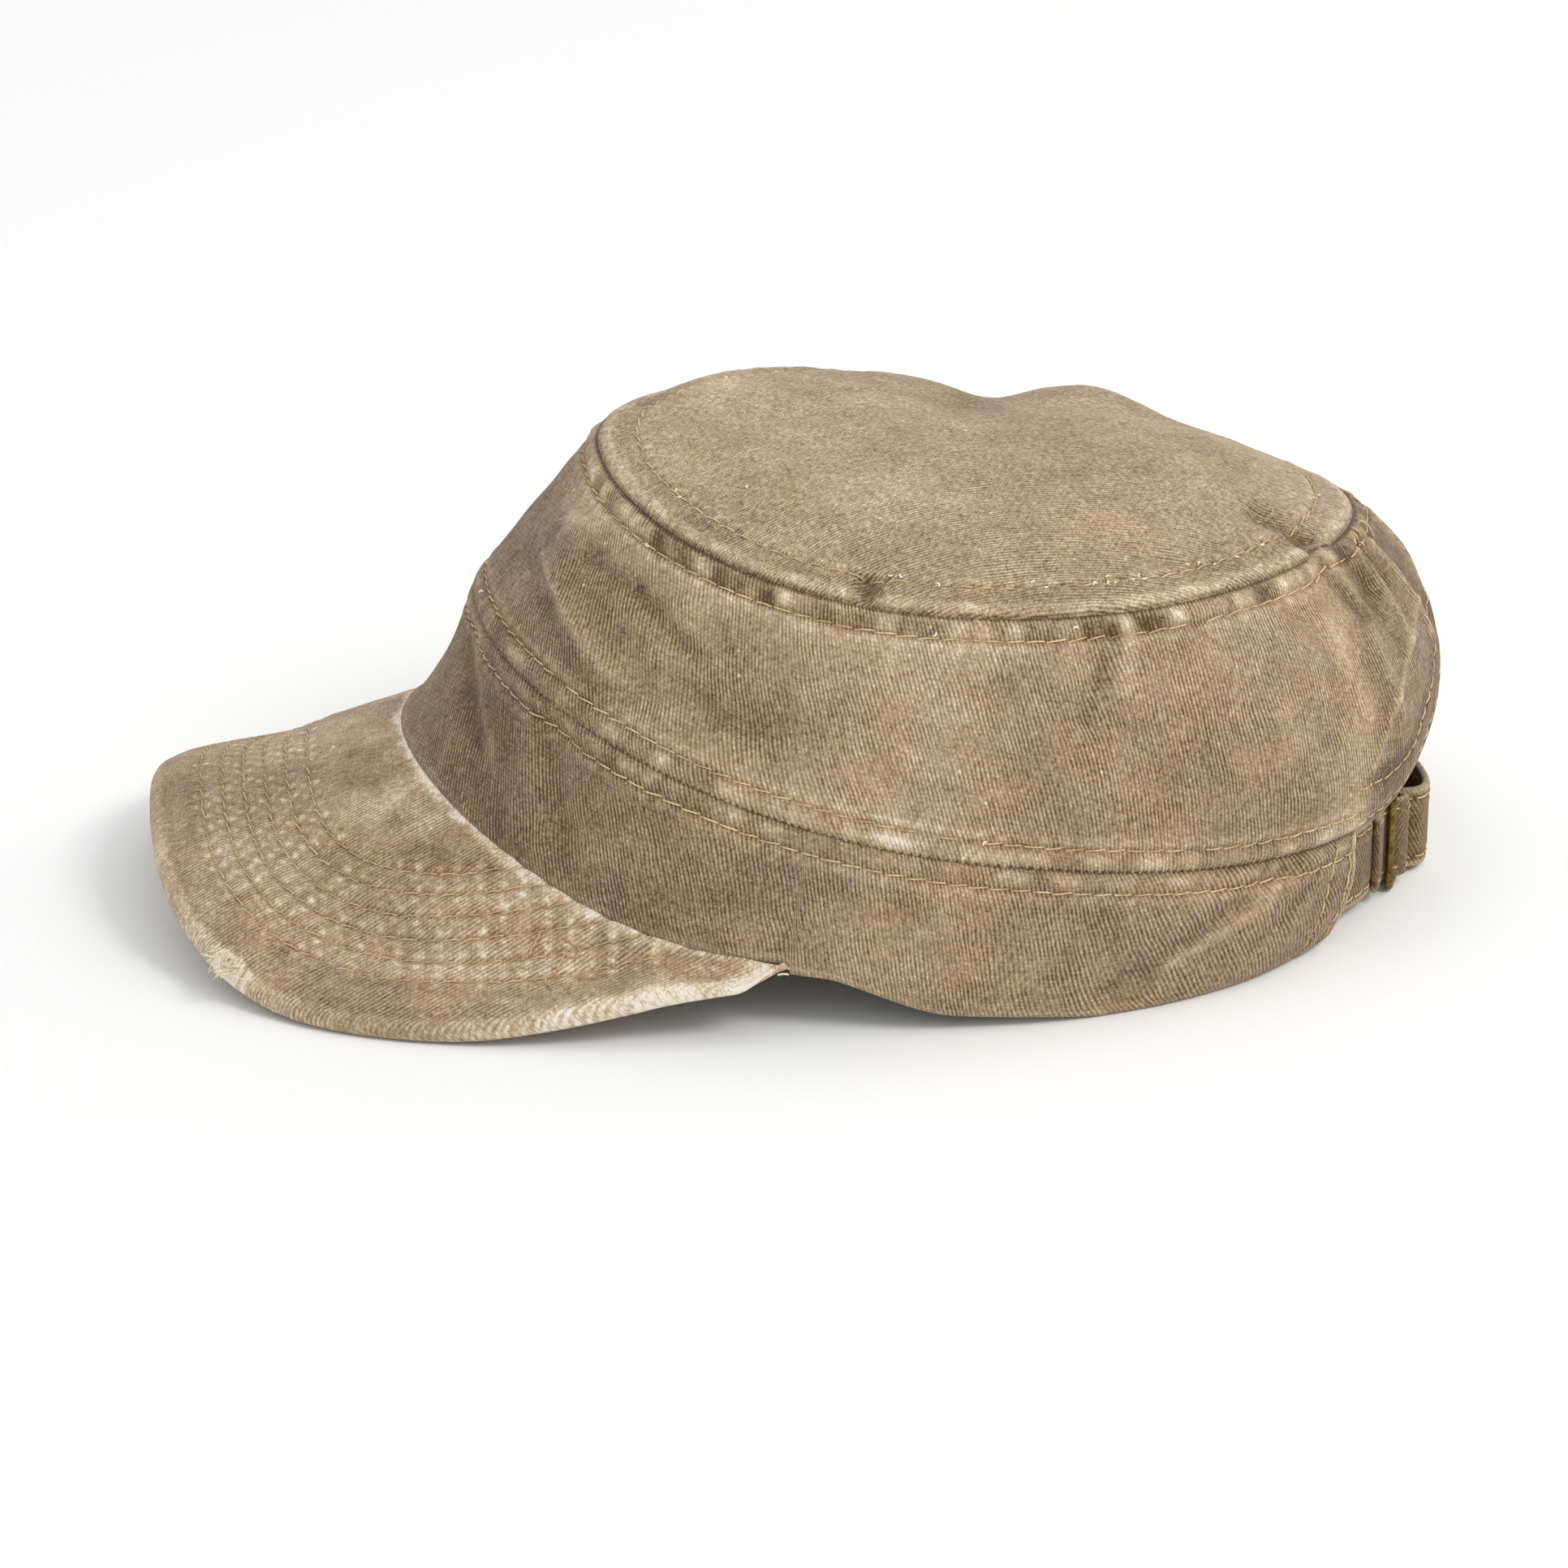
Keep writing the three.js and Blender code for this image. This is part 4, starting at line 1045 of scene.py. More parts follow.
# %% Wall stitch rows
sew("crown", *both_at(wall_grid, wall_out, from_top, TOP_ROW), top_row, top_count, 0.02, 0.1)
low_keep = np.abs(wall_angle) / RAD < 141
low_phase = low_row[low_keep]
low_start = math.ceil(low_phase[0])
low_lines = both_at(wall_grid, wall_out, from_hem, HEM_ROW, low_keep)
sew("crown", *low_lines, low_phase - low_start, int(low_phase[-1] - low_start), 0.02, 0.1, seed=2)
for side in (-1, 1):
    keep = (wall_angle * side / RAD > 139) & (np.abs(wall_angle) < np.pi - 0.01)
    for depth in ARCH_ROWS:
        sew_evenly("crown", *both_at(wall_grid, wall_out, from_hem, depth, keep), SHORT_PITCH, 0.06)
near_column = int(np.argmin(np.abs(rear_gap[:200, 0] - REAR_ROW)))
for column in (near_column, WALL_COLUMNS - near_column):
    keep = (from_hem[column] > 3.0) & (from_top[column] > 2.5)
    sew_evenly("crown", wall_grid[column][keep], wall_out[column][keep], SHORT_PITCH, 0.05)
print("rows so far", len(SEWING))

# %% [markdown]
# ## The top
# The top is an oval panel that is larger than its hole in the air: it bulges in two soft humps. The panel
# is a polar grid from its edge to one pole. Its edge folds down into the seam.

# %% Top panel grid
TOP_COLUMNS, TOP_ROWS, PANEL_ROW = 600, 120, 7.4
PUFF = {"edge": 0.7, "reach": 6.0, "middle": 3.4}
top_angle = np.linspace(-np.pi, np.pi, TOP_COLUMNS + 1)
rings = 1 - np.linspace(0, 1, TOP_ROWS + 1) ** 1.12
top_angles = np.repeat(top_angle[:, None], TOP_ROWS + 1, 1)
top_base = top_point(top_angles, np.repeat(rings[None, :], TOP_COLUMNS + 1, 0))
top_base[..., 2] += PUFF["edge"] * (1 - np.exp(-run_lengths(top_base, 1) / PUFF["reach"]))
top_base[..., 2] += PUFF["middle"] * (1 - rings ** 2)
top_normal = normals(top_base, (15, 0, -400))
top_normal[:, -3:] = np.array([0, 0, 1.0])
edge_in = run_lengths(top_base, 1)
top_u = run_lengths(top_base[:, 0], 0)
top_uu = np.repeat(top_u[:, None], TOP_ROWS + 1, 1)
print("top is", round(top_u[-1]), "mm round; grid", top_base.shape)

# %% [markdown]
# The top has its own stitch row, gathers outside and inside it, slow waves, and a few dents and one ridge
# where the cloth has been pressed.

# %% Top relief
panel_row, panel_count = counted(line_at(top_base, edge_in, PANEL_ROW), PITCH)
gathers = waves(top_uu, 3.0, 31, top_u[-1]) * 0.7 + waves(top_uu, 1.8, 32, top_u[-1]) * 0.3
x, y = top_base[..., 0], top_base[..., 1]
relief = seam_profile(edge_in, 0.2, 0.3, PANEL_ROW)
relief += gathers * (0.16 * bell(edge_in - 2.4, 2.0) + 0.1 * bell(edge_in - 9, 4.0))
relief -= 0.18 * needle(panel_row)[:, None] * bell(edge_in - PANEL_ROW, 0.8)
inside = smooth(edge_in / 9)
relief += (waves2(x + 200, y + 200, 19, 33) * 0.7 + waves2(x + 300, y + 100, 8, 34) * 0.22) * inside
# Columns: from x, from y, to x, to y, half width, depth, painted shade (a negative value is paler wear).
TOP_CREASES = (
    (-48, 20, -36, 46, 3.5, 0.8, 0.35), (-40, 14, -26, 40, 3, -0.5, -0.2), (18, 30, 28, 62, 7, 1.2, 0.3),
    (-13, -54, -15, -64, 2.4, 2, 0.7), (66, -30, 79, -42, 4, 2.4, 0.75), (30, -52, 62, -44, 4, 0.4, 0.1),
)
top_shade_and_wear = np.zeros_like(x)
for x0, y0, x1, y1, half, depth, dark in TOP_CREASES:
    mask = crease_mask(x - x0, y - y0, x1 - x0, y1 - y0, half)
    relief -= depth * mask
    top_shade_and_wear += dark * mask
top_grid = top_base + top_normal * relief[..., None]
top_grid[:, -1] = top_grid[:, -1].mean(axis=0)
top_out = normals(top_grid, (15, 0, -400))
print("top relief", relief.min().round(2), "to", relief.max().round(2), "mm")

# %% [markdown]
# The panel is cut flat, but hands have pulled its wales askew: they lean one way in front and the other way
# at the rear. The sum of that lean along the cap shifts the map sideways.

# %% Top wear, painted shade, skin and stitches
worn = bell(edge_in - 1.6, 1.4) * (0.22 + 0.5 * np.clip(gathers, 0, 1)) + np.clip(-top_shade_and_wear, 0, 1)
worn += 0.3 * bell(edge_in - PANEL_ROW - 1.2, 0.9) * needle(panel_row + 0.3)[:, None]
# deep is painted shade: the seam's groove, the strip down to the stitch row, the row's dents and the pressed
# creases.
deep = 0.6 * bell(edge_in, 0.28)
deep += 0.16 * smooth((PANEL_ROW + 0.5 - edge_in) / 2.0) * smooth((edge_in - 2) / 2)
deep += 0.3 * bell(edge_in - PANEL_ROW, 0.6)
deep += np.clip(top_shade_and_wear, 0, 1)
top_inner = top_base.copy()
top_inner[..., 2] -= CLOTH * (1 - 0.6 * bell(edge_in, 1.4))
top_inner += (top_grid - top_base) * 0.6
# Columns: x, how far the wales run sideways for each millimetre to the rear.
TOP_LEAN = ((-75, 0.72), (-20, 0.72), (0, 0.35), (18, 0.12), (50, -0.28), (62, -0.45), (95, -0.55))
lean_line = np.linspace(-80, 110, 1500)
lean_sum = np.cumsum(eased_table(TOP_LEAN, lean_line)) * (lean_line[1] - lean_line[0])
top_weave = along_wales(x, y - np.interp(x, lean_line, lean_sum), 0)
crown_top = skin(
    "crown_top_cloth", top_grid, top_inner, top_weave, (worn, deep), top_twill, ring=True, pole=True,
)
panel_lines = both_at(top_grid, top_out, edge_in, PANEL_ROW)
sew("crown", *panel_lines, panel_row, panel_count, 0.04, 0.12, seed=6)

# %% [markdown]
# ## The band
# The band is a doubled strip below the seam, open at the rear, where its ends carry the straps. Its lower
# edge is a fold that rests on the table at both sides. It is painted darker at the front, partly as painted
# shade and partly as less wear.

# %% Band grid
BAND_END, BAND_ROW, END_ROWS = 140.5, 4.3, (2.4, 8.2)
BAND_COLUMNS, BAND_ROWS = 640, 72
band_angle = np.linspace(-BAND_END * RAD, BAND_END * RAD, BAND_COLUMNS + 1)
band_angles = np.repeat(band_angle[:, None], BAND_ROWS + 1, 1)
band_share = np.repeat(np.linspace(0.0, 0.997, BAND_ROWS + 1)[None, :], BAND_COLUMNS + 1, 0)
band_base = band_point(band_angles, band_share)
band_normal = normals(band_base, (4, 0, 20))
band_v = run_lengths(band_base, 1)
from_seam = band_v[:, -1:] - band_v
band_u = run_lengths(band_point(band_angle, np.full(BAND_COLUMNS + 1, 0.5)), 0)
band_u = band_u - np.interp(np.pi / 2, band_angle, band_u)
band_uu = np.repeat(band_u[:, None], BAND_ROWS + 1, 1)
from_end = np.minimum(band_uu - band_u[0], band_u[-1] - band_uu)
print("band runs", round(band_u[-1] - band_u[0]), "mm; grid", band_base.shape)

# %% [markdown]
# Gathers and a stitch row follow the seam, two more rows hold each end, and the folded lower edge is
# rounded off where it rests.

# %% Band relief
band_row, band_count = counted(line_at(band_base, from_seam, BAND_ROW), PITCH)
gathers = waves(band_uu, 3.2, 41) * 0.7 + waves(band_uu, 1.8, 42) * 0.3
relief = seam_profile(from_seam, 0.25, 0.4, BAND_ROW) * smooth(from_end / 2)
relief += gathers * 0.2 * bell(from_seam - 2.3, 1.8)
relief -= 0.16 * needle(band_row)[:, None] * bell(from_seam - BAND_ROW, 0.8)
crease, tone = fold_depths(CREASES, "band", band_angles, band_share, 88, 30)
inside = smooth(from_seam / 5) * smooth(band_v / 4)
relief += (waves2(band_uu, band_v, 12, 43) * 0.42 + waves2(band_uu, band_v, 5.5, 44) * 0.15) * inside
relief -= crease * (0.4 + 0.6 * inside)
end_lines = bell(from_end - END_ROWS[0], 0.5) + bell(from_end - END_ROWS[1], 0.5)
relief -= 0.25 * end_lines * smooth(from_seam / 3)
relief += 0.25 * smooth((9.0 - from_end) / 1.5) * smooth(from_seam / 3)
low_lift = (1 - 0.65 * smooth((75 - np.abs(band_angles) / RAD) / 4)) * bell(band_v, 1.6)
band_grid = band_base + band_normal * relief[..., None]
band_grid[..., 2] = np.maximum(band_grid[..., 2] + low_lift, 0.12)
band_out = normals(band_grid, (4, 0, 20))
print("band relief", relief.min().round(2), "to", relief.max().round(2), "mm")

# %% [markdown]
# The ends and the seam's gathers are rubbed pale. Painted shade darkens the seam, the gathers' valleys, the
# rows and the whole band, most at the front, which was also worn least, and the rear quarter. The wales swing
# along the band too, as on the wall.

# %% Band wear, painted shade and skin
worn = bell(from_seam - 1.9, 1.2) * (0.12 + 0.65 * np.clip(gathers, 0, 1))
worn += 0.25 * bell(from_seam - 5.6, 1.0) * (0.4 + needle(band_row)[:, None])
worn += 0.55 * bell(from_end, 0.9) + np.clip(-tone, 0, 2) + 0.18 * bell(band_v - 0.4, 0.8)
# deep is painted shade: the seam, the stitch rows, the gathers' valleys, the folds and the whole band, most
# at the front and the rear.
deep = 0.7 * bell(from_seam, 0.28) + 0.3 * bell(from_seam - BAND_ROW, 0.55) + np.clip(tone, 0, 2)
deep += 0.4 * np.clip(-gathers, 0, 1) * bell(from_seam - 2.4, 1.6)
deep += 0.3 * end_lines
deep += 0.24 + 0.5 * bell(band_angles / RAD - 20, 36) + 0.22 * smooth((band_angles / RAD - 95) / 20)
band_inner = inward(band_base, band_normal, BAND_CLOTH * (1 - 0.7 * bell(from_seam, 1.6)))
band_inner[..., 2] = np.maximum(band_inner[..., 2] + low_lift, 0.12)
# Columns: millimetres past the wearer's left side, degrees from the seam to the wales.
BAND_WALES = (
    (-400, 100), (-300, 118), (-210, 138), (-150, 134), (-100, 125), (-60, 116), (-35, 104), (0, 110),
    (15, 123), (32, 131), (50, 129), (70, 124), (90, 120),
)
band_weave = swept_weave(band_uu, band_v - 14, BAND_WALES)
band = skin("band_cloth", band_grid, band_inner, band_weave, (worn, deep), crown_twill)
band_lines = both_at(band_grid, band_out, from_seam, BAND_ROW)
sew("band", *band_lines, band_row, band_count, 0.02, 0.1, seed=7)
for depth in END_ROWS:
    for side in (-1, 1):
        column = int(np.argmin(np.abs(from_end[:, 0] - depth) + (band_angle * side < 0) * 99))
        keep = (from_seam[column] > 1.0) & (band_v[column] > 1.5)
        sew_evenly("band", band_grid[column][keep], band_out[column][keep], SHORT_PITCH, 0.05)

# %% [markdown]
# ## The peak
# The peak is a stiff board between two layers of twill, arched across and a little curled along. Six stitch
# rows follow its outer edge. Where the cloth puffs up between the needle holes it has rubbed almost white,
# and its outer edge has worn through to bare cotton.

# %% Peak outline
PEAK_COLUMNS, PEAK_ROWS = 600, 124
corner_x, corner_y = plan("rim", PEAK["corner"] * RAD, False)


def peak_edge(turns, inset):
    x = corner_x - (PEAK["reach"] - inset) * power(np.cos(turns), 2 / PEAK["square"])
    belly = PEAK["belly"] * np.sqrt(np.clip(np.sin(2 * turns), 0, 1))
    y = -(abs(corner_y) + 1 - inset) * power(np.sin(turns), 2 / PEAK["square"]) - belly
    y = y + 2.9 * np.sign(np.sin(turns)) * (1 - smooth((corner_x - x) / 9))
    return np.stack([x, y], -1)


fine_turns = np.linspace(-np.pi / 2, np.pi / 2, 6001)
fine_length = run_lengths(peak_edge(fine_turns, 0), 0)
outline_length = np.linspace(0, fine_length[-1], 801)
outline = peak_edge(np.interp(outline_length, fine_length, fine_turns), 0)
print("peak outline", round(fine_length[-1]), "mm")

# %% [markdown]
# Columns of the grid run from points spread evenly along the outline to the rim. The board thins out
# towards both corners, where it is pinched into the seam. Towards the rim it sinks by its own thickness, so
# its upper face meets the crown's lower edge.

# %% Peak grid
even = np.linspace(0, fine_length[-1], PEAK_COLUMNS + 1)
even_turn = np.interp(even, fine_length, fine_turns)
turn = np.linspace(-np.pi / 2, np.pi / 2, PEAK_COLUMNS + 1)
thin = 0.15 + 0.85 * smooth(np.minimum(even, fine_length[-1] - even) / 26)
edge = peak_edge(even_turn, PEAK["thick"] / 2 * thin)
root_angle = np.interp(even_turn, turn, np.linspace(-1, 1, PEAK_COLUMNS + 1)) * PEAK["corner"] * RAD
root_x, root_y = plan("rim", root_angle)
tuck_in = smooth((PEAK["corner"] * RAD - np.abs(root_angle)) / (9 * RAD))
tuck = -0.2 + (PEAK["tuck"] + 0.2) * tuck_in
root = np.stack([root_x + tuck * np.cos(root_angle), root_y + tuck * np.sin(root_angle)], -1)
run = np.linalg.norm(root - peak_edge(even_turn, 0), axis=-1)
step = np.linspace(0, 1, PEAK_ROWS + 1)[None, :]
flat_grid = edge[:, None, :] * (1 - step[..., None]) + root[:, None, :] * step[..., None]
from_corner = np.hypot(flat_grid[..., 0] - corner_x, np.abs(flat_grid[..., 1]) - abs(corner_y))
thick_here = PEAK["thick"] * (0.15 + 0.85 * smooth(from_corner / 26))
lift = thick_here * (1 - smooth(step * np.maximum(1, run / PEAK["edge_lift"])[:, None]))
peak_top = peak_height(flat_grid[..., 0], flat_grid[..., 1]) - PEAK["below"] * smooth(2 * step) + lift
peak_base = np.concatenate([flat_grid, peak_top[..., None]], -1)
peak_base[..., 2] = np.maximum(peak_base[..., 2], 2.2 * (1 - smooth(step * 3)))
peak_normal = normals(peak_base, (-60, 0, -400))
peak_x, peak_y = peak_base[..., 0], peak_base[..., 1]
inset_true, outline_at = edge_distance(peak_x, peak_y, outline[:, 0], outline[:, 1])
along_edge = outline_length[outline_at]
from_root = (1 - step) * run[:, None]
print("peak is up to", round(run.max()), "mm deep; grid", peak_base.shape)

# %% [markdown]
# Each peak row is the outline moved inward. Its own length sets its stitches, so the rows fall out of step
# with each other, as they do when a peak is sewn in one long spiral. Cloth puffs up between the needle
# holes, by a different amount at each, and those spots are rubbed almost white.

# %% Peak rows, relief and painted shade
ROW_INSETS = [10.3 + 4.2 * index for index in range(6)]
edge_ahead = np.gradient(outline, axis=0)
edge_ahead /= np.linalg.norm(edge_ahead, axis=-1, keepdims=True)
inward_way = np.stack([-edge_ahead[:, 1], edge_ahead[:, 0]], -1)
if ((np.array([-60, 0]) - outline[400]) * inward_way[400]).sum() < 0:
    inward_way = -inward_way
relief = (waves2(peak_x + 300, peak_y + 200, 16, 51) * 0.35) * smooth(inset_true / 6)
relief += waves2(peak_x + 300, peak_y + 200, 5, 52) * 0.08
relief *= smooth(from_root / 3)
worn = np.zeros_like(inset_true)
deep = np.zeros_like(inset_true)
peak_phases = []
for index, inset in enumerate(ROW_INSETS):
    row_length = run_lengths(outline + inward_way * inset, 0)
    phase_line = row_length / PEAK_PITCH + 0.37 * index
    peak_phases.append(phase_line)
    phase = np.interp(along_edge, outline_length, phase_line)
    offset = inset_true - inset
    lumps = np.random.default_rng(60 + index).uniform(0.2, 1.0, 400)[np.round(phase).astype(int) % 400]
    relief -= bell(offset, 0.55) * (0.22 + 0.16 * needle(phase))
    relief += 0.16 * bell(offset - 2.1, 1.0) * (0.6 + 0.4 * needle(phase + 0.5))
    spots = np.clip(needle(phase) ** 1.2, 0, 1) * lumps
    worn += spots * (0.85 * bell(offset - 1.1, 0.75) + 0.7 * bell(offset + 1.2, 0.7))
    # The grooves of the stitch rows get painted shade.
    deep += 0.3 * bell(offset, 0.5)
print("peak relief", relief.min().round(2), "to", relief.max().round(2), "mm")

# %% [markdown]
# The outer edge has rubbed through unevenly, most of all near the wearer's left corner and at one torn spot.
# The seam against the crown is rubbed too, and faded dye lies in clouds between the rows.

# %% Peak wear
# Darker across the rows towards the far side, and in the strip between the edge and the first row.
deep += 0.16 * smooth((peak_y + 62) / 40) * smooth((inset_true - 8) / 3) * smooth((36 - inset_true) / 4)
deep += 0.36 * smooth((inset_true - 1.5) / 2) * smooth((10.5 - inset_true) / 2)
TORN_SPOT = (-132.8, -54)
ragged = waves2(peak_x + 99, peak_y + 299, 3.0, 53) * 0.8
ragged += waves2(peak_x + 99, peak_y + 299, 1.2, 54) * 0.5
near_edge = bell(peak_y + 85, 14) * smooth((peak_x + 90) / 26)
rub = 1.5 + 2.1 * near_edge + 1.6 * bell(peak_x + 137, 9) * bell(peak_y + 51, 10)
worn += 0.74 * smooth((rub + ragged * 0.8 - inset_true + 1.8) / 4.4)
worn += 0.75 * smooth((3.4 + ragged * 0.9 - from_root) / 2.6) * (0.55 + 0.45 * smooth((peak_y + 75) / 30))
worn += 0.18 * bell(inset_true - 5.5, 2.5)
torn = np.hypot(peak_x - TORN_SPOT[0], peak_y - TORN_SPOT[1])
worn += 0.85 * smooth((4.8 + ragged * 1.4 - torn) / 1.8) * smooth((4.0 + ragged - inset_true) / 1.4)
worn *= 1 - 0.8 * smooth((peak_x - corner_x + 4) / 3)
mottle = waves2(peak_x + 150, peak_y + 250, 8, 55) * 0.7
mottle += waves2(peak_x + 150, peak_y + 250, 3.5, 56) * 0.5
deep -= mottle * (0.13 + 0.34 * bell(from_root - 8, 9)) + 0.12 * bell(from_root - 10, 12)
print("peak worn to", worn.max().round(2), "deep to", deep.max().round(2))

# %% [markdown]
# The wales of the peak run about 20 degrees off the cap's length. The lower face is the upper one moved
# down by the board's thickness, but never below the table.

# %% Peak skin
peak_grid = peak_base + peak_normal * relief[..., None]
peak_out = normals(peak_grid, (-60, 0, -400))
peak_inner = peak_base.copy()
peak_inner[..., 2] = np.maximum(peak_base[..., 2] - thick_here, 0.06)
peak_weave = along_wales(peak_x, peak_y * 1.12, 20)
peak = skin("peak_cloth", peak_grid, peak_inner, peak_weave, (worn, deep), peak_twill, lip=5, inner_rows=9)
peak_points = peak_grid.reshape(-1, 3)

# %% [markdown]
# A row ends where it meets the crown. It also stops where the moved outline folds over itself near a corner,
# which shows as a true distance that no longer agrees with the row's own.

# %% Peak stitch rows
def nearest_on_peak(spot):
    return int(np.argmin(((peak_points[:, :2] - spot) ** 2).sum(1)))


for index, inset in enumerate(ROW_INSETS):
    row_line = outline + inward_way * inset
    true_inset = np.array([np.min(np.hypot(*(outline - spot).T)) for spot in row_line])
    rim_angle = np.arctan2(-(row_line[:, 1]) / 84.0, -(row_line[:, 0] - 1.0) / 98.0)
    rim_x, rim_y = plan("rim", rim_angle)
    outside = np.hypot(row_line[:, 0] - 1, row_line[:, 1]) > np.hypot(rim_x - 1, rim_y) + 0.3
    keep = (np.abs(true_inset - inset) < 0.1) & outside
    nearest = [nearest_on_peak(spot) for spot in row_line[keep]]
    path = np.concatenate([row_line[keep], peak_points[nearest][:, 2:]], -1)
    facing = peak_out.reshape(-1, 3)[nearest]
    phase = peak_phases[index][keep]
    start = math.ceil(phase[0])
    sew("peak", path, facing, phase - start, int(phase[-1] - start), 0.02, 0.14, 0.0037, 70 + index)
print("peak rows", len(ROW_INSETS))

# %% [markdown]
# ## The sweatband
# Inside the band lies a thin dark sweatband. Its folded lower edge hangs a little below the band on the
# wearer's left, where it shows as a thin pale line.

# %% Sweatband
SWEAT_END, SWEAT_COLUMNS, SWEAT_ROWS = 134 * RAD, 360, 16
sweat_angle = np.linspace(-SWEAT_END, SWEAT_END, SWEAT_COLUMNS + 1)
sweat_angles = np.repeat(sweat_angle[:, None], SWEAT_ROWS + 1, 1)
sweat_share = np.repeat(np.linspace(0.02, 0.8, SWEAT_ROWS + 1)[None, :], SWEAT_COLUMNS + 1, 0)
sweat_base = band_point(sweat_angles, sweat_share)
sweat_normal = normals(sweat_base, (4, 0, 20))
sweat_grid = inward(sweat_base, sweat_normal, BAND_CLOTH + 2 * GAP)
sweat_grid[:, 0, 2] += 0.4
dip = 1.7 * bell((sweat_angles - 84 * RAD) / RAD, 13) * bell(sweat_share - 0.02, 0.07)
sweat_grid[..., 2] -= dip
sweat_inner = inward(sweat_grid, sweat_normal, SWEAT_CLOTH)
sweat_u = run_lengths(sweat_grid[:, SWEAT_ROWS // 2], 0)
sweat_v = run_lengths(sweat_grid, 1)
sweat_weave = along_wales(np.repeat(sweat_u[:, None], SWEAT_ROWS + 1, 1), sweat_v, 90)
edge_worn = 1.4 * bell(sweat_v, 1.2)
sweatband = skin(
    "sweatband_cloth", sweat_grid, sweat_inner, sweat_weave, (edge_worn, edge_worn * 0), sweat_twill,
    inner_rows=6,
)

# %% [markdown]
# ## Rear straps and buckle
# A short tab holds the buckle on the left. The longer strap comes from the right, goes through the buckle
# and folds back over itself. Both are flat strips standing on edge, swept along one smooth line in plan.

# %% Strap lines
STRAP = {"low": 2.4, "high": 19.4, "rear_x": 100.2, "flatten": 0.0077}
BUCKLE = {"y": -25, "long": 15, "tall": 21.4, "wire": 1.7, "low": 0.3, "out": 1.0}


def strap_line(y, out):
    return np.array([STRAP["rear_x"] - STRAP["flatten"] * y * y + out, y * (1 + out * 0.004)])


buckle_middle = strap_line(BUCKLE["y"], BUCKLE["out"])
buckle_along = np.array([-2 * STRAP["flatten"] * BUCKLE["y"], 1.0])
buckle_along /= np.linalg.norm(buckle_along)
buckle_away = np.array([buckle_along[1], -buckle_along[0]])


def buckle_point(along, out):
    return buckle_middle + buckle_along * along + buckle_away * out


def sewn_end(side):
    ends = []
    for degrees in (135, 141):
        angle = np.array([[side * degrees - 1, side * degrees, side * degrees + 1]]).T * RAD
        angles = np.repeat(angle, 3, 1)
        share = np.repeat(np.array([[0.06, 0.08, 0.10]]), 3, 0)
        grid = band_point(angles, share)
        depth = BAND_CLOTH + 2 * GAP + STRAP_CLOTH / 2
        ends.append(inward(grid, normals(grid, (4, 0, 20)), depth)[1, 1, :2])
    return ends


print("buckle stands at", buckle_middle.round(1))

# %% [markdown]
# A strap bends in smooth curves, tight at the buckle and wide elsewhere. This curve passes through every
# given point without overshooting, because its steps grow with the root of the distance. It is then
# shared out in even pieces.

# %% A smooth line through points
def smooth_path(points, spacing=0.45):
    points = np.array(points)
    knots = np.concatenate([[0], np.cumsum(np.linalg.norm(np.diff(points, axis=0), axis=1) ** 0.5)])
    first = 2 * points[0] - points[1]
    last = 2 * points[-1] - points[-2]
    padded = np.vstack([first, points, last])
    times = np.concatenate([[-(knots[1] - knots[0])], knots, [2 * knots[-1] - knots[-2]]])
    line = []
    for k in range(1, len(padded) - 2):
        t = np.linspace(times[k], times[k + 1], 40, endpoint=False)[:, None]
        a = [(times[k + i] - t) / (times[k + i] - times[k + i - 1]) for i in (0, 1, 2)]
        b = [a[i] * padded[k - 1 + i] + (1 - a[i]) * padded[k + i] for i in range(3)]
        c0 = (times[k + 1] - t) / (times[k + 1] - times[k - 1])
        c1 = (times[k + 2] - t) / (times[k + 2] - times[k])
        d0 = c0 * b[0] + (1 - c0) * b[1]
        d1 = c1 * b[1] + (1 - c1) * b[2]
        e = (times[k + 1] - t) / (times[k + 1] - times[k])
        line.append(e * d0 + (1 - e) * d1)
    line = np.vstack([*line, padded[-2:-1]])
    length = run_lengths(line, 0)
    count = int(length[-1] / spacing)
    return np.stack([np.interp(np.linspace(0, length[-1], count), length, line[:, k]) for k in (0, 1)], -1)

# %% [markdown]
# Each path starts inside the band's end, where the strap is sewn in. The left tab goes round the middle bar
# of the buckle and back. The right strap goes round the end wire that faces it and lies over itself.

# %% The two paths
bar = (BUCKLE["long"] - BUCKLE["wire"]) / 2
wrap = BUCKLE["wire"] / 2 + 2 * GAP + STRAP_CLOTH / 2
CENTRE_BAR = -0.8
turn_out = BUCKLE["wire"] / 2 + 0.3 + STRAP_CLOTH / 2
LEFT_PATH = sewn_end(1) + [buckle_point(*spot) for spot in (
    (-bar - 8, -2 * turn_out), (-bar, -2 * turn_out), (CENTRE_BAR - 2.4, -2.9), (CENTRE_BAR, -turn_out),
    (CENTRE_BAR + turn_out, 0), (CENTRE_BAR + 0.2, turn_out), (CENTRE_BAR - 1.8, 1.1),
    (CENTRE_BAR - 3.2, -0.7), (-bar, -turn_out), (-bar - 3, -turn_out - 0.05), (-bar - 6, -turn_out - 0.1),
)]
RIGHT_PATH = sewn_end(-1) + [strap_line(42, 0), strap_line(20, 0), strap_line(-2, -0.6)] + [
    buckle_point(*spot) for spot in (
        (bar + 3, -wrap), (bar - 0.5, -wrap), (bar - wrap - 0.2, 0), (bar - 1.2, 3.4), (bar + 4, 4.4),
    )
] + [strap_line(2, 3.8), strap_line(18, 2.8)]
for label, path in (("left", LEFT_PATH), ("right", RIGHT_PATH)):
    print(label, "strap", run_lengths(smooth_path(path), 0)[-1].round(1), "mm long")

# %% [markdown]
# A strap is a skin between two upright faces along its path, with a stitch row near each edge. Both straps
# sag a little in the middle of the rear opening.

# %% Strap cloth
STRAP_ROWS = 44


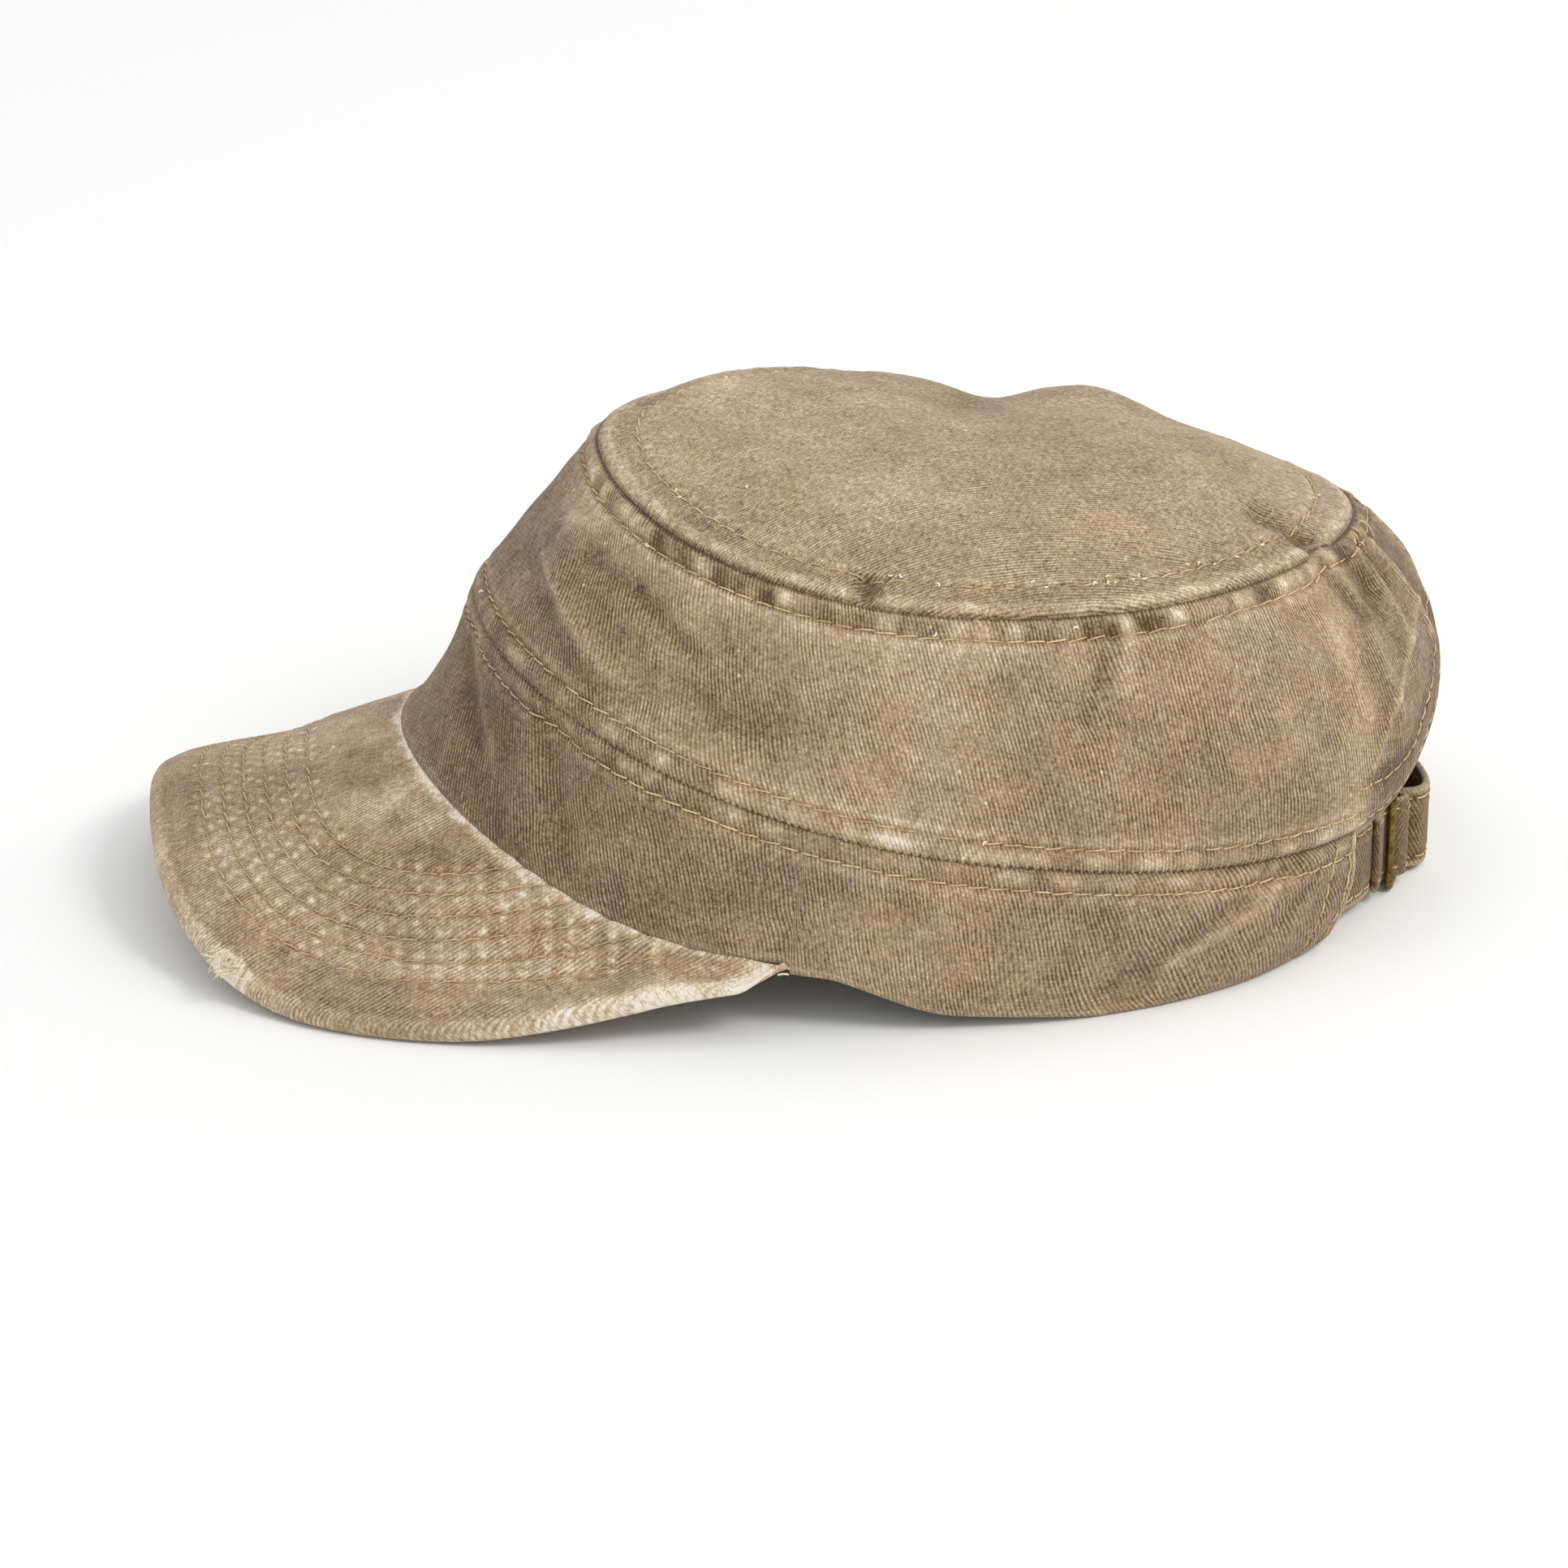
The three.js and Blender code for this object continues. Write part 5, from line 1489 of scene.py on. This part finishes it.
def strap(name, path, seed):
    line = smooth_path(path)
    ahead = np.gradient(line, axis=0)
    ahead /= np.linalg.norm(ahead, axis=-1, keepdims=True)
    side = np.stack([ahead[:, 1], -ahead[:, 0]], -1)
    heights = np.linspace(STRAP["low"] + 0.7, STRAP["high"] - 0.7, STRAP_ROWS)
    u = np.repeat(run_lengths(line, 0)[:, None], STRAP_ROWS, 1)
    v = np.repeat(heights[None, :], len(line), 0) - heights[0]
    edge = np.minimum(v, v[:, -1:] - v)
    phase, count = counted(line, STRAP_PITCH)
    dents = -0.14 * bell(edge - 1.6, 0.45) * (0.7 + 0.5 * needle(phase)[:, None])
    dents += waves2(u, v, 6, seed) * 0.12 + 0.08 * bell(edge - 3.2, 1.0)
    thick = STRAP_CLOTH / 2
    grids = []
    sag = 1.7 * smooth((line[:, 1] + 32) / 18) * smooth((44 - line[:, 1]) / 24)
    for sign in (1, -1):
        flat = line[:, None, :] + side[:, None, :] * (sign * (thick + dents))[..., None]
        grids.append(np.concatenate([flat, (heights[None, :] - sag[:, None])[..., None]], -1))
    worn = 0.8 * bell(edge, 0.7) + 0.25 * bell(edge - 3.0, 0.8) * needle(phase)[:, None]
    # deep is painted shade in the grooves of the stitch rows.
    deep = 0.5 * bell(edge - 1.6, 0.5)
    weave = along_wales(u, v, 115)
    piece = skin(name, grids[0], grids[1], weave, (worn, deep), strap_twill, inner_rows=STRAP_ROWS)
    for sign, grid in ((1, grids[0]), (-1, grids[1])):
        facing = np.concatenate([side * sign, np.zeros((len(line), 1))], -1)
        for row in (4, -5):
            sew("strap", grid[:, row], facing, phase, count, 0.0, 0.05, 0.0034, seed)
    return piece


strap_left = strap("strap_left_cloth", LEFT_PATH, 81)
strap_right = strap("strap_right_cloth", RIGHT_PATH, 82)

# %% [markdown]
# Wire and thread are both swept tubes, so the sweep is written once. Each ring of the tube is turned as
# little as possible from the one before, which keeps it from twisting. Open ends are capped.

# %% Swept tubes
def tube(points, radius, sides=8, closed=False, taper=False):
    points = np.asarray(points, dtype=float)
    ahead = np.gradient(points, axis=0)
    if closed:
        ahead = np.roll(points, -1, 0) - np.roll(points, 1, 0)
    ahead /= np.linalg.norm(ahead, axis=-1, keepdims=True) + 1e-12
    across = np.cross(ahead[0], (0.31, 0.23, 0.92))
    rings_made = []
    for index in range(len(points)):
        across = across - ahead[index] * (across @ ahead[index])
        across /= np.linalg.norm(across)
        up = np.cross(ahead[index], across)
        share = index / (len(points) - 1)
        size = radius * (1 - 0.5 * abs(2 * share - 1) ** 6 if taper else 1)
        turns = np.linspace(0, 2 * np.pi, sides, endpoint=False)[:, None]
        rings_made.append(points[index] + size * (np.cos(turns) * across + np.sin(turns) * up))
    count = len(points)
    grid = np.arange(count * sides).reshape(count, sides)
    nexts = np.roll(grid, -1, 0) if closed else grid[1:]
    firsts = grid if closed else grid[:-1]
    quads = np.stack([firsts, np.roll(firsts, -1, 1), np.roll(nexts, -1, 1), nexts], -1).reshape(-1, 4)
    caps = []
    if not closed:
        for ring_points, flip in ((grid[0], True), (grid[-1], False)):
            for k in range(1, sides - 1):
                face = (ring_points[0], ring_points[k], ring_points[k + 1])
                caps.append(face[::-1] if flip else face)
    return np.concatenate(rings_made), quads, caps

# %% [markdown]
# The buckle is a wire bent into a rounded rectangle, with a straight bar across its middle for the tab.

# %% The buckle
def joined_tubes(name, tubes, material):
    points, quads, caps, start = [], [], [], 0
    for part_points, part_quads, part_caps in tubes:
        points.append(part_points)
        quads.append(part_quads + start)
        caps += [tuple(index + start for index in face) for face in part_caps]
        start += len(part_points)
    points, quads = np.concatenate(points), np.concatenate(quads)
    return cloth_mesh(name, points, quads, caps, np.zeros((len(points), 2)), {}, material, merge=False)


def rounded_rectangle(half_long, half_tall, corner, per_corner=10):
    outline_points = []
    for cx, cy, start in ((1, 1, 0), (-1, 1, 90), (-1, -1, 180), (1, -1, 270)):
        for turn_now in np.linspace(start, start + 90, per_corner) * RAD:
            x_now = cx * (half_long - corner) + corner * math.cos(turn_now)
            outline_points.append((x_now, cy * (half_tall - corner) + corner * math.sin(turn_now)))
    return np.array(outline_points)


half_wire = BUCKLE["wire"] / 2
frame_line = rounded_rectangle(BUCKLE["long"] / 2 - half_wire, BUCKLE["tall"] / 2 - half_wire, 1.5)
buckle_line = [
    [*(buckle_middle + buckle_along * a), BUCKLE["low"] + BUCKLE["tall"] / 2 + b] for a, b in frame_line
]
bar_heights = BUCKLE["low"] + half_wire + np.linspace(0, BUCKLE["tall"] - 2 * half_wire, 12)
bar_line = [[*buckle_point(CENTRE_BAR, 0), high] for high in bar_heights]
buckle_tubes = [tube(buckle_line, half_wire, 14, closed=True), tube(bar_line, half_wire * 0.92, 14)]
buckle = joined_tubes("buckle_wire", buckle_tubes, brass)

# %% [markdown]
# Five short lines of close stitches, side by side, make a bar tack over the top seam near the rear, where
# the folds pull on it.

# %% A bar tack at the rear
for offset_degrees in (-2.4, -1.2, 0.0, 1.2, 2.4):
    column = int(np.argmin(np.abs(wall_angle / RAD - 156 - offset_degrees)))
    keep = (from_top[column] > 0.3) & (from_top[column] < 5.8)
    sew_evenly("crown", wall_grid[column][keep], wall_out[column][keep], 2.4, 0.5, 0.0027)
print("stitches in all", sum(len(row["points"]) for row in SEWING))

# %% [markdown]
# ## Real stitches
# Geometry Nodes lay one short arch of thread at every stitch: a good tool for a thousand small copies. The
# points carry which way the row runs and which way the cloth faces, and the tree turns each copy to suit,
# with a little random slant and length. Realize Instances then makes them plain mesh.

# %% One stitch
THREAD_ARCH, LOOSE_SLANT = 0.00055, 0.09
stitches, w, given, out = new_group(
    "Stitch row",
    [
        ("Geometry", "Geometry"), ("Thread radius", "Float", 0.00025),
        ("Stitch length", "Float", STITCH_LENGTH), ("Arch", "Float", THREAD_ARCH),
        ("Loose slant", "Float", LOOSE_SLANT), ("Seed", "Int", 5), ("Finish", "Material"),
    ],
    [("Geometry", "Geometry")],
    "GeometryNodeTree",
)
half = w.math("MULTIPLY", given["Stitch length"], 0.5)
sink = w.math("MULTIPLY", given["Arch"], -0.45)
start = w.node("ShaderNodeCombineXYZ", None, X=w.math("MULTIPLY", half, -1.0), Z=sink).outputs[0]
middle = w.node("ShaderNodeCombineXYZ", None, Z=given["Arch"]).outputs[0]
end = w.node("ShaderNodeCombineXYZ", None, X=half, Z=sink).outputs[0]
arc = w.node("GeometryNodeCurveQuadraticBezier", None, Resolution=7, Start=start, Middle=middle, End=end)
ring_shape = w.node("GeometryNodeCurvePrimitiveCircle", None, Resolution=6, Radius=given["Thread radius"])
body = w.node("GeometryNodeCurveToMesh", None, Curve=arc.outputs[0])
w.feed(body, "i1", ring_shape.outputs[0])
body.inputs["Fill Caps"].default_value = True
rounded = w.node("GeometryNodeSetShadeSmooth", None, Geometry=body.outputs[0])
print("one stitch", len(stitches.nodes), "nodes")

# %% [markdown]
# First the copy is turned so that it runs along the row, then about that line until it faces out of the
# cloth. The slant turns it once more in its own plane, and the stretch makes it longer or shorter.

# %% A copy at every point
named = {}
kinds = {"ahead": "FLOAT_VECTOR", "facing": "FLOAT_VECTOR", "slant": "FLOAT", "long": "FLOAT"}
for label, kind in kinds.items():
    found = w.node("GeometryNodeInputNamedAttribute", {"data_type": kind}, Name=label)
    named[label] = found.outputs["Attribute"]
along_row = w.node("FunctionNodeAlignRotationToVector", {"axis": "X"}, Vector=named["ahead"])
faced = w.node(
    "FunctionNodeAlignRotationToVector", {"axis": "Z", "pivot_axis": "X"},
    Vector=named["facing"], Rotation=along_row.outputs[0],
)
chance = w.node("FunctionNodeRandomValue", {"data_type": "FLOAT"}, Seed=given["Seed"])
chance.inputs[2].default_value = -1.0
chance.inputs[3].default_value = 1.0
slant = w.math("MULTIPLY_ADD", chance.outputs[1], given["Loose slant"], named["slant"])
twist = w.node("FunctionNodeAxisAngleToRotation", None, Axis=(0, 0, 1), Angle=slant)
slanted = w.node("FunctionNodeRotateRotation", {"rotation_space": "LOCAL"}, Rotation=faced.outputs[0])
w.feed(slanted, "i1", twist.outputs[0])
stretch = w.math("MULTIPLY_ADD", chance.outputs[1], 0.06, named["long"])
size = w.node("ShaderNodeCombineXYZ", None, X=stretch, Y=1.0, Z=1.0)
placed = w.node(
    "GeometryNodeInstanceOnPoints", None, Points=given["Geometry"], Instance=rounded.outputs[0],
    Rotation=slanted.outputs[0], Scale=size.outputs[0],
)
real = w.node("GeometryNodeRealizeInstances", None, Geometry=placed.outputs[0])
finished = w.node("GeometryNodeSetMaterial", None, Geometry=real.outputs[0], Material=given["Finish"])
w.tree.links.new(finished.outputs[0], out["Geometry"])
print("tree", stitches.name, len(stitches.nodes), "nodes")

# %% [markdown]
# Each group of rows becomes one object whose points carry the four values that the tree reads. The finished
# threads are kept as a plain mesh, so nothing needs the tree afterwards.

# %% Lay the stitches
def lay_stitches(name, group, radius, seed):
    rows = [row for row in SEWING if row["group"] == group]
    count = sum(len(row["points"]) for row in rows)
    mesh = bpy.data.meshes.new(name)
    mesh.vertices.add(count)
    mesh.vertices.foreach_set("co", place(np.concatenate([row["points"] for row in rows])).ravel())
    for label, key in (("ahead", "tangent"), ("facing", "facing")):
        values = np.concatenate([row[key] for row in rows]).astype(np.float32)
        mesh.attributes.new(label, "FLOAT_VECTOR", "POINT").data.foreach_set("vector", values.ravel())
    for label, key, unit in (("slant", "slant", 1.0), ("long", "length", STITCH_LENGTH)):
        values = np.concatenate([np.full(len(row["points"]), row[key] / unit) for row in rows])
        mesh.attributes.new(label, "FLOAT", "POINT").data.foreach_set("value", values.astype(np.float32))
    piece = bpy.data.objects.new(name, mesh)
    bpy.context.scene.collection.objects.link(piece)
    modifier = piece.modifiers.new("stitches", "NODES")
    modifier.node_group = stitches
    sockets = {item.name: item.identifier for item in stitches.interface.items_tree if item.in_out == "INPUT"}
    given_values = {
        "Thread radius": radius, "Stitch length": STITCH_LENGTH, "Arch": THREAD_ARCH,
        "Loose slant": LOOSE_SLANT, "Seed": seed, "Finish": thread,
    }
    for label, value in given_values.items():
        modifier[sockets[label]] = value
    graph = bpy.context.evaluated_depsgraph_get()
    plain = bpy.data.meshes.new_from_object(piece.evaluated_get(graph))
    piece.modifiers.remove(modifier)
    piece.data = plain
    plain.calc_loop_triangles()
    print(name, count, "stitches", len(plain.loop_triangles), "triangles")
    return piece


STITCHES = [
    lay_stitches("crown_stitches", "crown", 0.00019, 5),
    lay_stitches("band_stitches", "band", 0.00019, 6),
    lay_stitches("peak_stitches", "peak", 0.00015, 7),
    lay_stitches("strap_stitches", "strap", 0.00018, 8),
]

# %% [markdown]
# ## Loose ends
# An old cap sheds thread. Two ends lie loose on the peak, one of them in a curl, and one hangs at the top
# seam near the rear. Each is a short swept tube that follows the cloth below it.

# %% Loose threads
def on_peak(x_now, y_now, above):
    return np.array([x_now, y_now, peak_points[nearest_on_peak((x_now, y_now)), 2] + above])


def on_wall(degrees_from_front, share_now):
    column = int(round((degrees_from_front + 180) / 360 * WALL_COLUMNS)) % (WALL_COLUMNS + 1)
    row = int(round(share_now * WALL_ROWS))
    return wall_grid[column, row], wall_out[column, row]


# Points of each thread: x, y.
PEAK_THREADS = (
    ((-75.9, -64.8), (-76.8, -66.2), (-78.4, -67.8)),
    ((-71.9, -66.8), (-71.2, -67.8), (-70.3, -68.4), (-69.4, -69.0), (-69.0, -70.0), (-69.9, -70.8),
     (-71.2, -70.4), (-71.7, -69.3), (-72.2, -70.2), (-72.9, -71.1), (-74.4, -72.6), (-75.7, -73.1),
     (-75.9, -73.8), (-75.4, -74.8), (-74.9, -76.3)),
)


def eased(points, count):
    points = np.array(points, dtype=float)
    knots = np.linspace(0, 1, len(points))
    fine = np.linspace(0, 1, count)
    line = np.stack([np.interp(fine, knots, points[:, k]) for k in range(points.shape[1])], -1)
    for _ in range(6):
        line[1:-1] = (line[:-2] + 2 * line[1:-1] + line[2:]) / 4
    return line


loose = []
for path in PEAK_THREADS:
    flat = eased(path, 12 * len(path))
    lift_line = 0.35 + 0.35 * np.sin(np.linspace(0, 9, len(flat))) ** 2
    loose.append(tube([on_peak(*spot, high) for spot, high in zip(flat, lift_line)], 0.2, 6))
spot_a, out_a = on_wall(161, 0.97)
spot_b, out_b = on_wall(165, 0.84)
rear_thread = [spot_a, spot_a + out_a, (spot_a + spot_b) / 2 + out_a * 1.3, spot_b + out_b * 0.4]
loose.append(tube(eased(rear_thread, 24), 0.2, 6))
loose_threads = joined_tubes("loose_threads", loose, thread)

# %% [markdown]
# Where a yarn has broken, its undyed core stands up as a small tuft, mostly along the stitch rows. A tuft
# is a short thread that bows out of the cloth. Those on the wearer's left were seen in the photo; the few
# on the far side are made up.

# %% Tufts of bare cotton
# Columns: angle from the front, millimetres inside the stitch row of the top.
TOP_TUFTS = (
    (22, 0.6), (24.5, 0), (69, 1), (70.5, 1.2), (77, 0), (91, 1), (93, -0.5), (100.5, 0), (103, 1),
    (102.5, 0), (104, -0.5), (108.5, 0.6), (106.5, -0.6), (109, 0), (118, 1.3), (120.5, 0.8), (123, -0.2),
    (128, -0.6), (135, 0), (28.5, 12), (60, 18), (165, 1), (168, -0.5), (-40, 1), (-95, 0.5),
)
# Columns: angle from the front, share of the wall's grid from its lower edge.
WALL_TUFTS = ((29.5, 0.87), (2, 0.1), (78, 0.9), (88, 0.12), (96, 0.94))
rng = np.random.default_rng(90)
tufts = []


def tuft(spot, out_way, long, radius):
    side_way = np.cross(out_way, rng.normal(size=3))
    side_way /= np.linalg.norm(side_way)
    bend = np.cross(out_way, side_way)
    line = [spot + side_way * long * (s - 0.5) + out_way * (0.08 + 0.9 * long * s * (1 - s))
            + bend * long * 0.35 * math.sin(s * 3) for s in np.linspace(0, 1, 6)]
    return tube(line, radius, 5, taper=True)


for degrees_now, beyond in TOP_TUFTS:
    column = int(np.argmin(np.abs(top_angle / RAD - degrees_now)))
    row = int(np.argmin(np.abs(edge_in[column] - PANEL_ROW - beyond)))
    tufts.append(tuft(top_grid[column, row], top_out[column, row], rng.uniform(0.6, 1.2), 0.24))
for degrees_now, share_now in WALL_TUFTS:
    tufts.append(tuft(*on_wall(degrees_now, share_now), 1.1, 0.24))
print("tufts", len(tufts))

# %% [markdown]
# At the torn spot many fine threads hang out of the peak's edge, outward and down, each with a bend of its
# own. One more short end stands at the near corner.

# %% The frayed edge
outline_xy = outline[np.hypot(outline[:, 0] - TORN_SPOT[0], outline[:, 1] - TORN_SPOT[1]) < 5.5]
for _ in range(110):
    spot = outline_xy[int(np.clip(rng.normal(0.5, 0.22), 0, 0.99) * len(outline_xy))]
    at = on_peak(*(spot + np.array([1.4, 1.4]) * rng.uniform(-0.4, 1.7)), 0.12)
    way = np.array([-0.75, -0.62, rng.uniform(-0.75, -0.1)]) + rng.normal(size=3) * 0.35
    way /= np.linalg.norm(way)
    bend = rng.normal(size=3) * 0.35
    long = rng.uniform(1.0, 3.0)
    line = [at + way * long * s + bend * s * s for s in np.linspace(0, 1, 5)]
    line = [np.array([p[0], p[1], max(p[2], 0.3)]) for p in line]
    tufts.append(tube(line, rng.uniform(0.09, 0.16), 5, taper=True))
corner_spot = on_peak(-33.5, -83.0, 0.2)
corner_end = [corner_spot, corner_spot + (0.8, -0.8, 0.6), corner_spot + (1.9, -0.2, 0.1)]
tufts.append(tube(eased(corner_end, 10), 0.2, 6))
cotton_tufts = joined_tubes("cotton_tufts", tufts, loose_cotton)

# %% [markdown]
# ## Joining the frame
# Every piece rides on the cap's one body. The cloth skins stand for the plain solids, which are hidden.

# %% Ride and replace
SLOTS = (
    (crown_top, "crown_top", "twill"), (crown_side, "crown_side", "twill"), (band, "band", "twill"),
    (peak, "peak", "peak_twill"), (sweatband, "sweatband", "lining"),
    (strap_left, "strap_left", "strap_twill"), (strap_right, "strap_right", "strap_twill"),
    (buckle, "buckle", "brass"),
)
for piece, node, slot in SLOTS:
    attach(piece, "root")
    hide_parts(node)
for piece in (*STITCHES, loose_threads, cotton_tufts):
    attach(piece, "root")
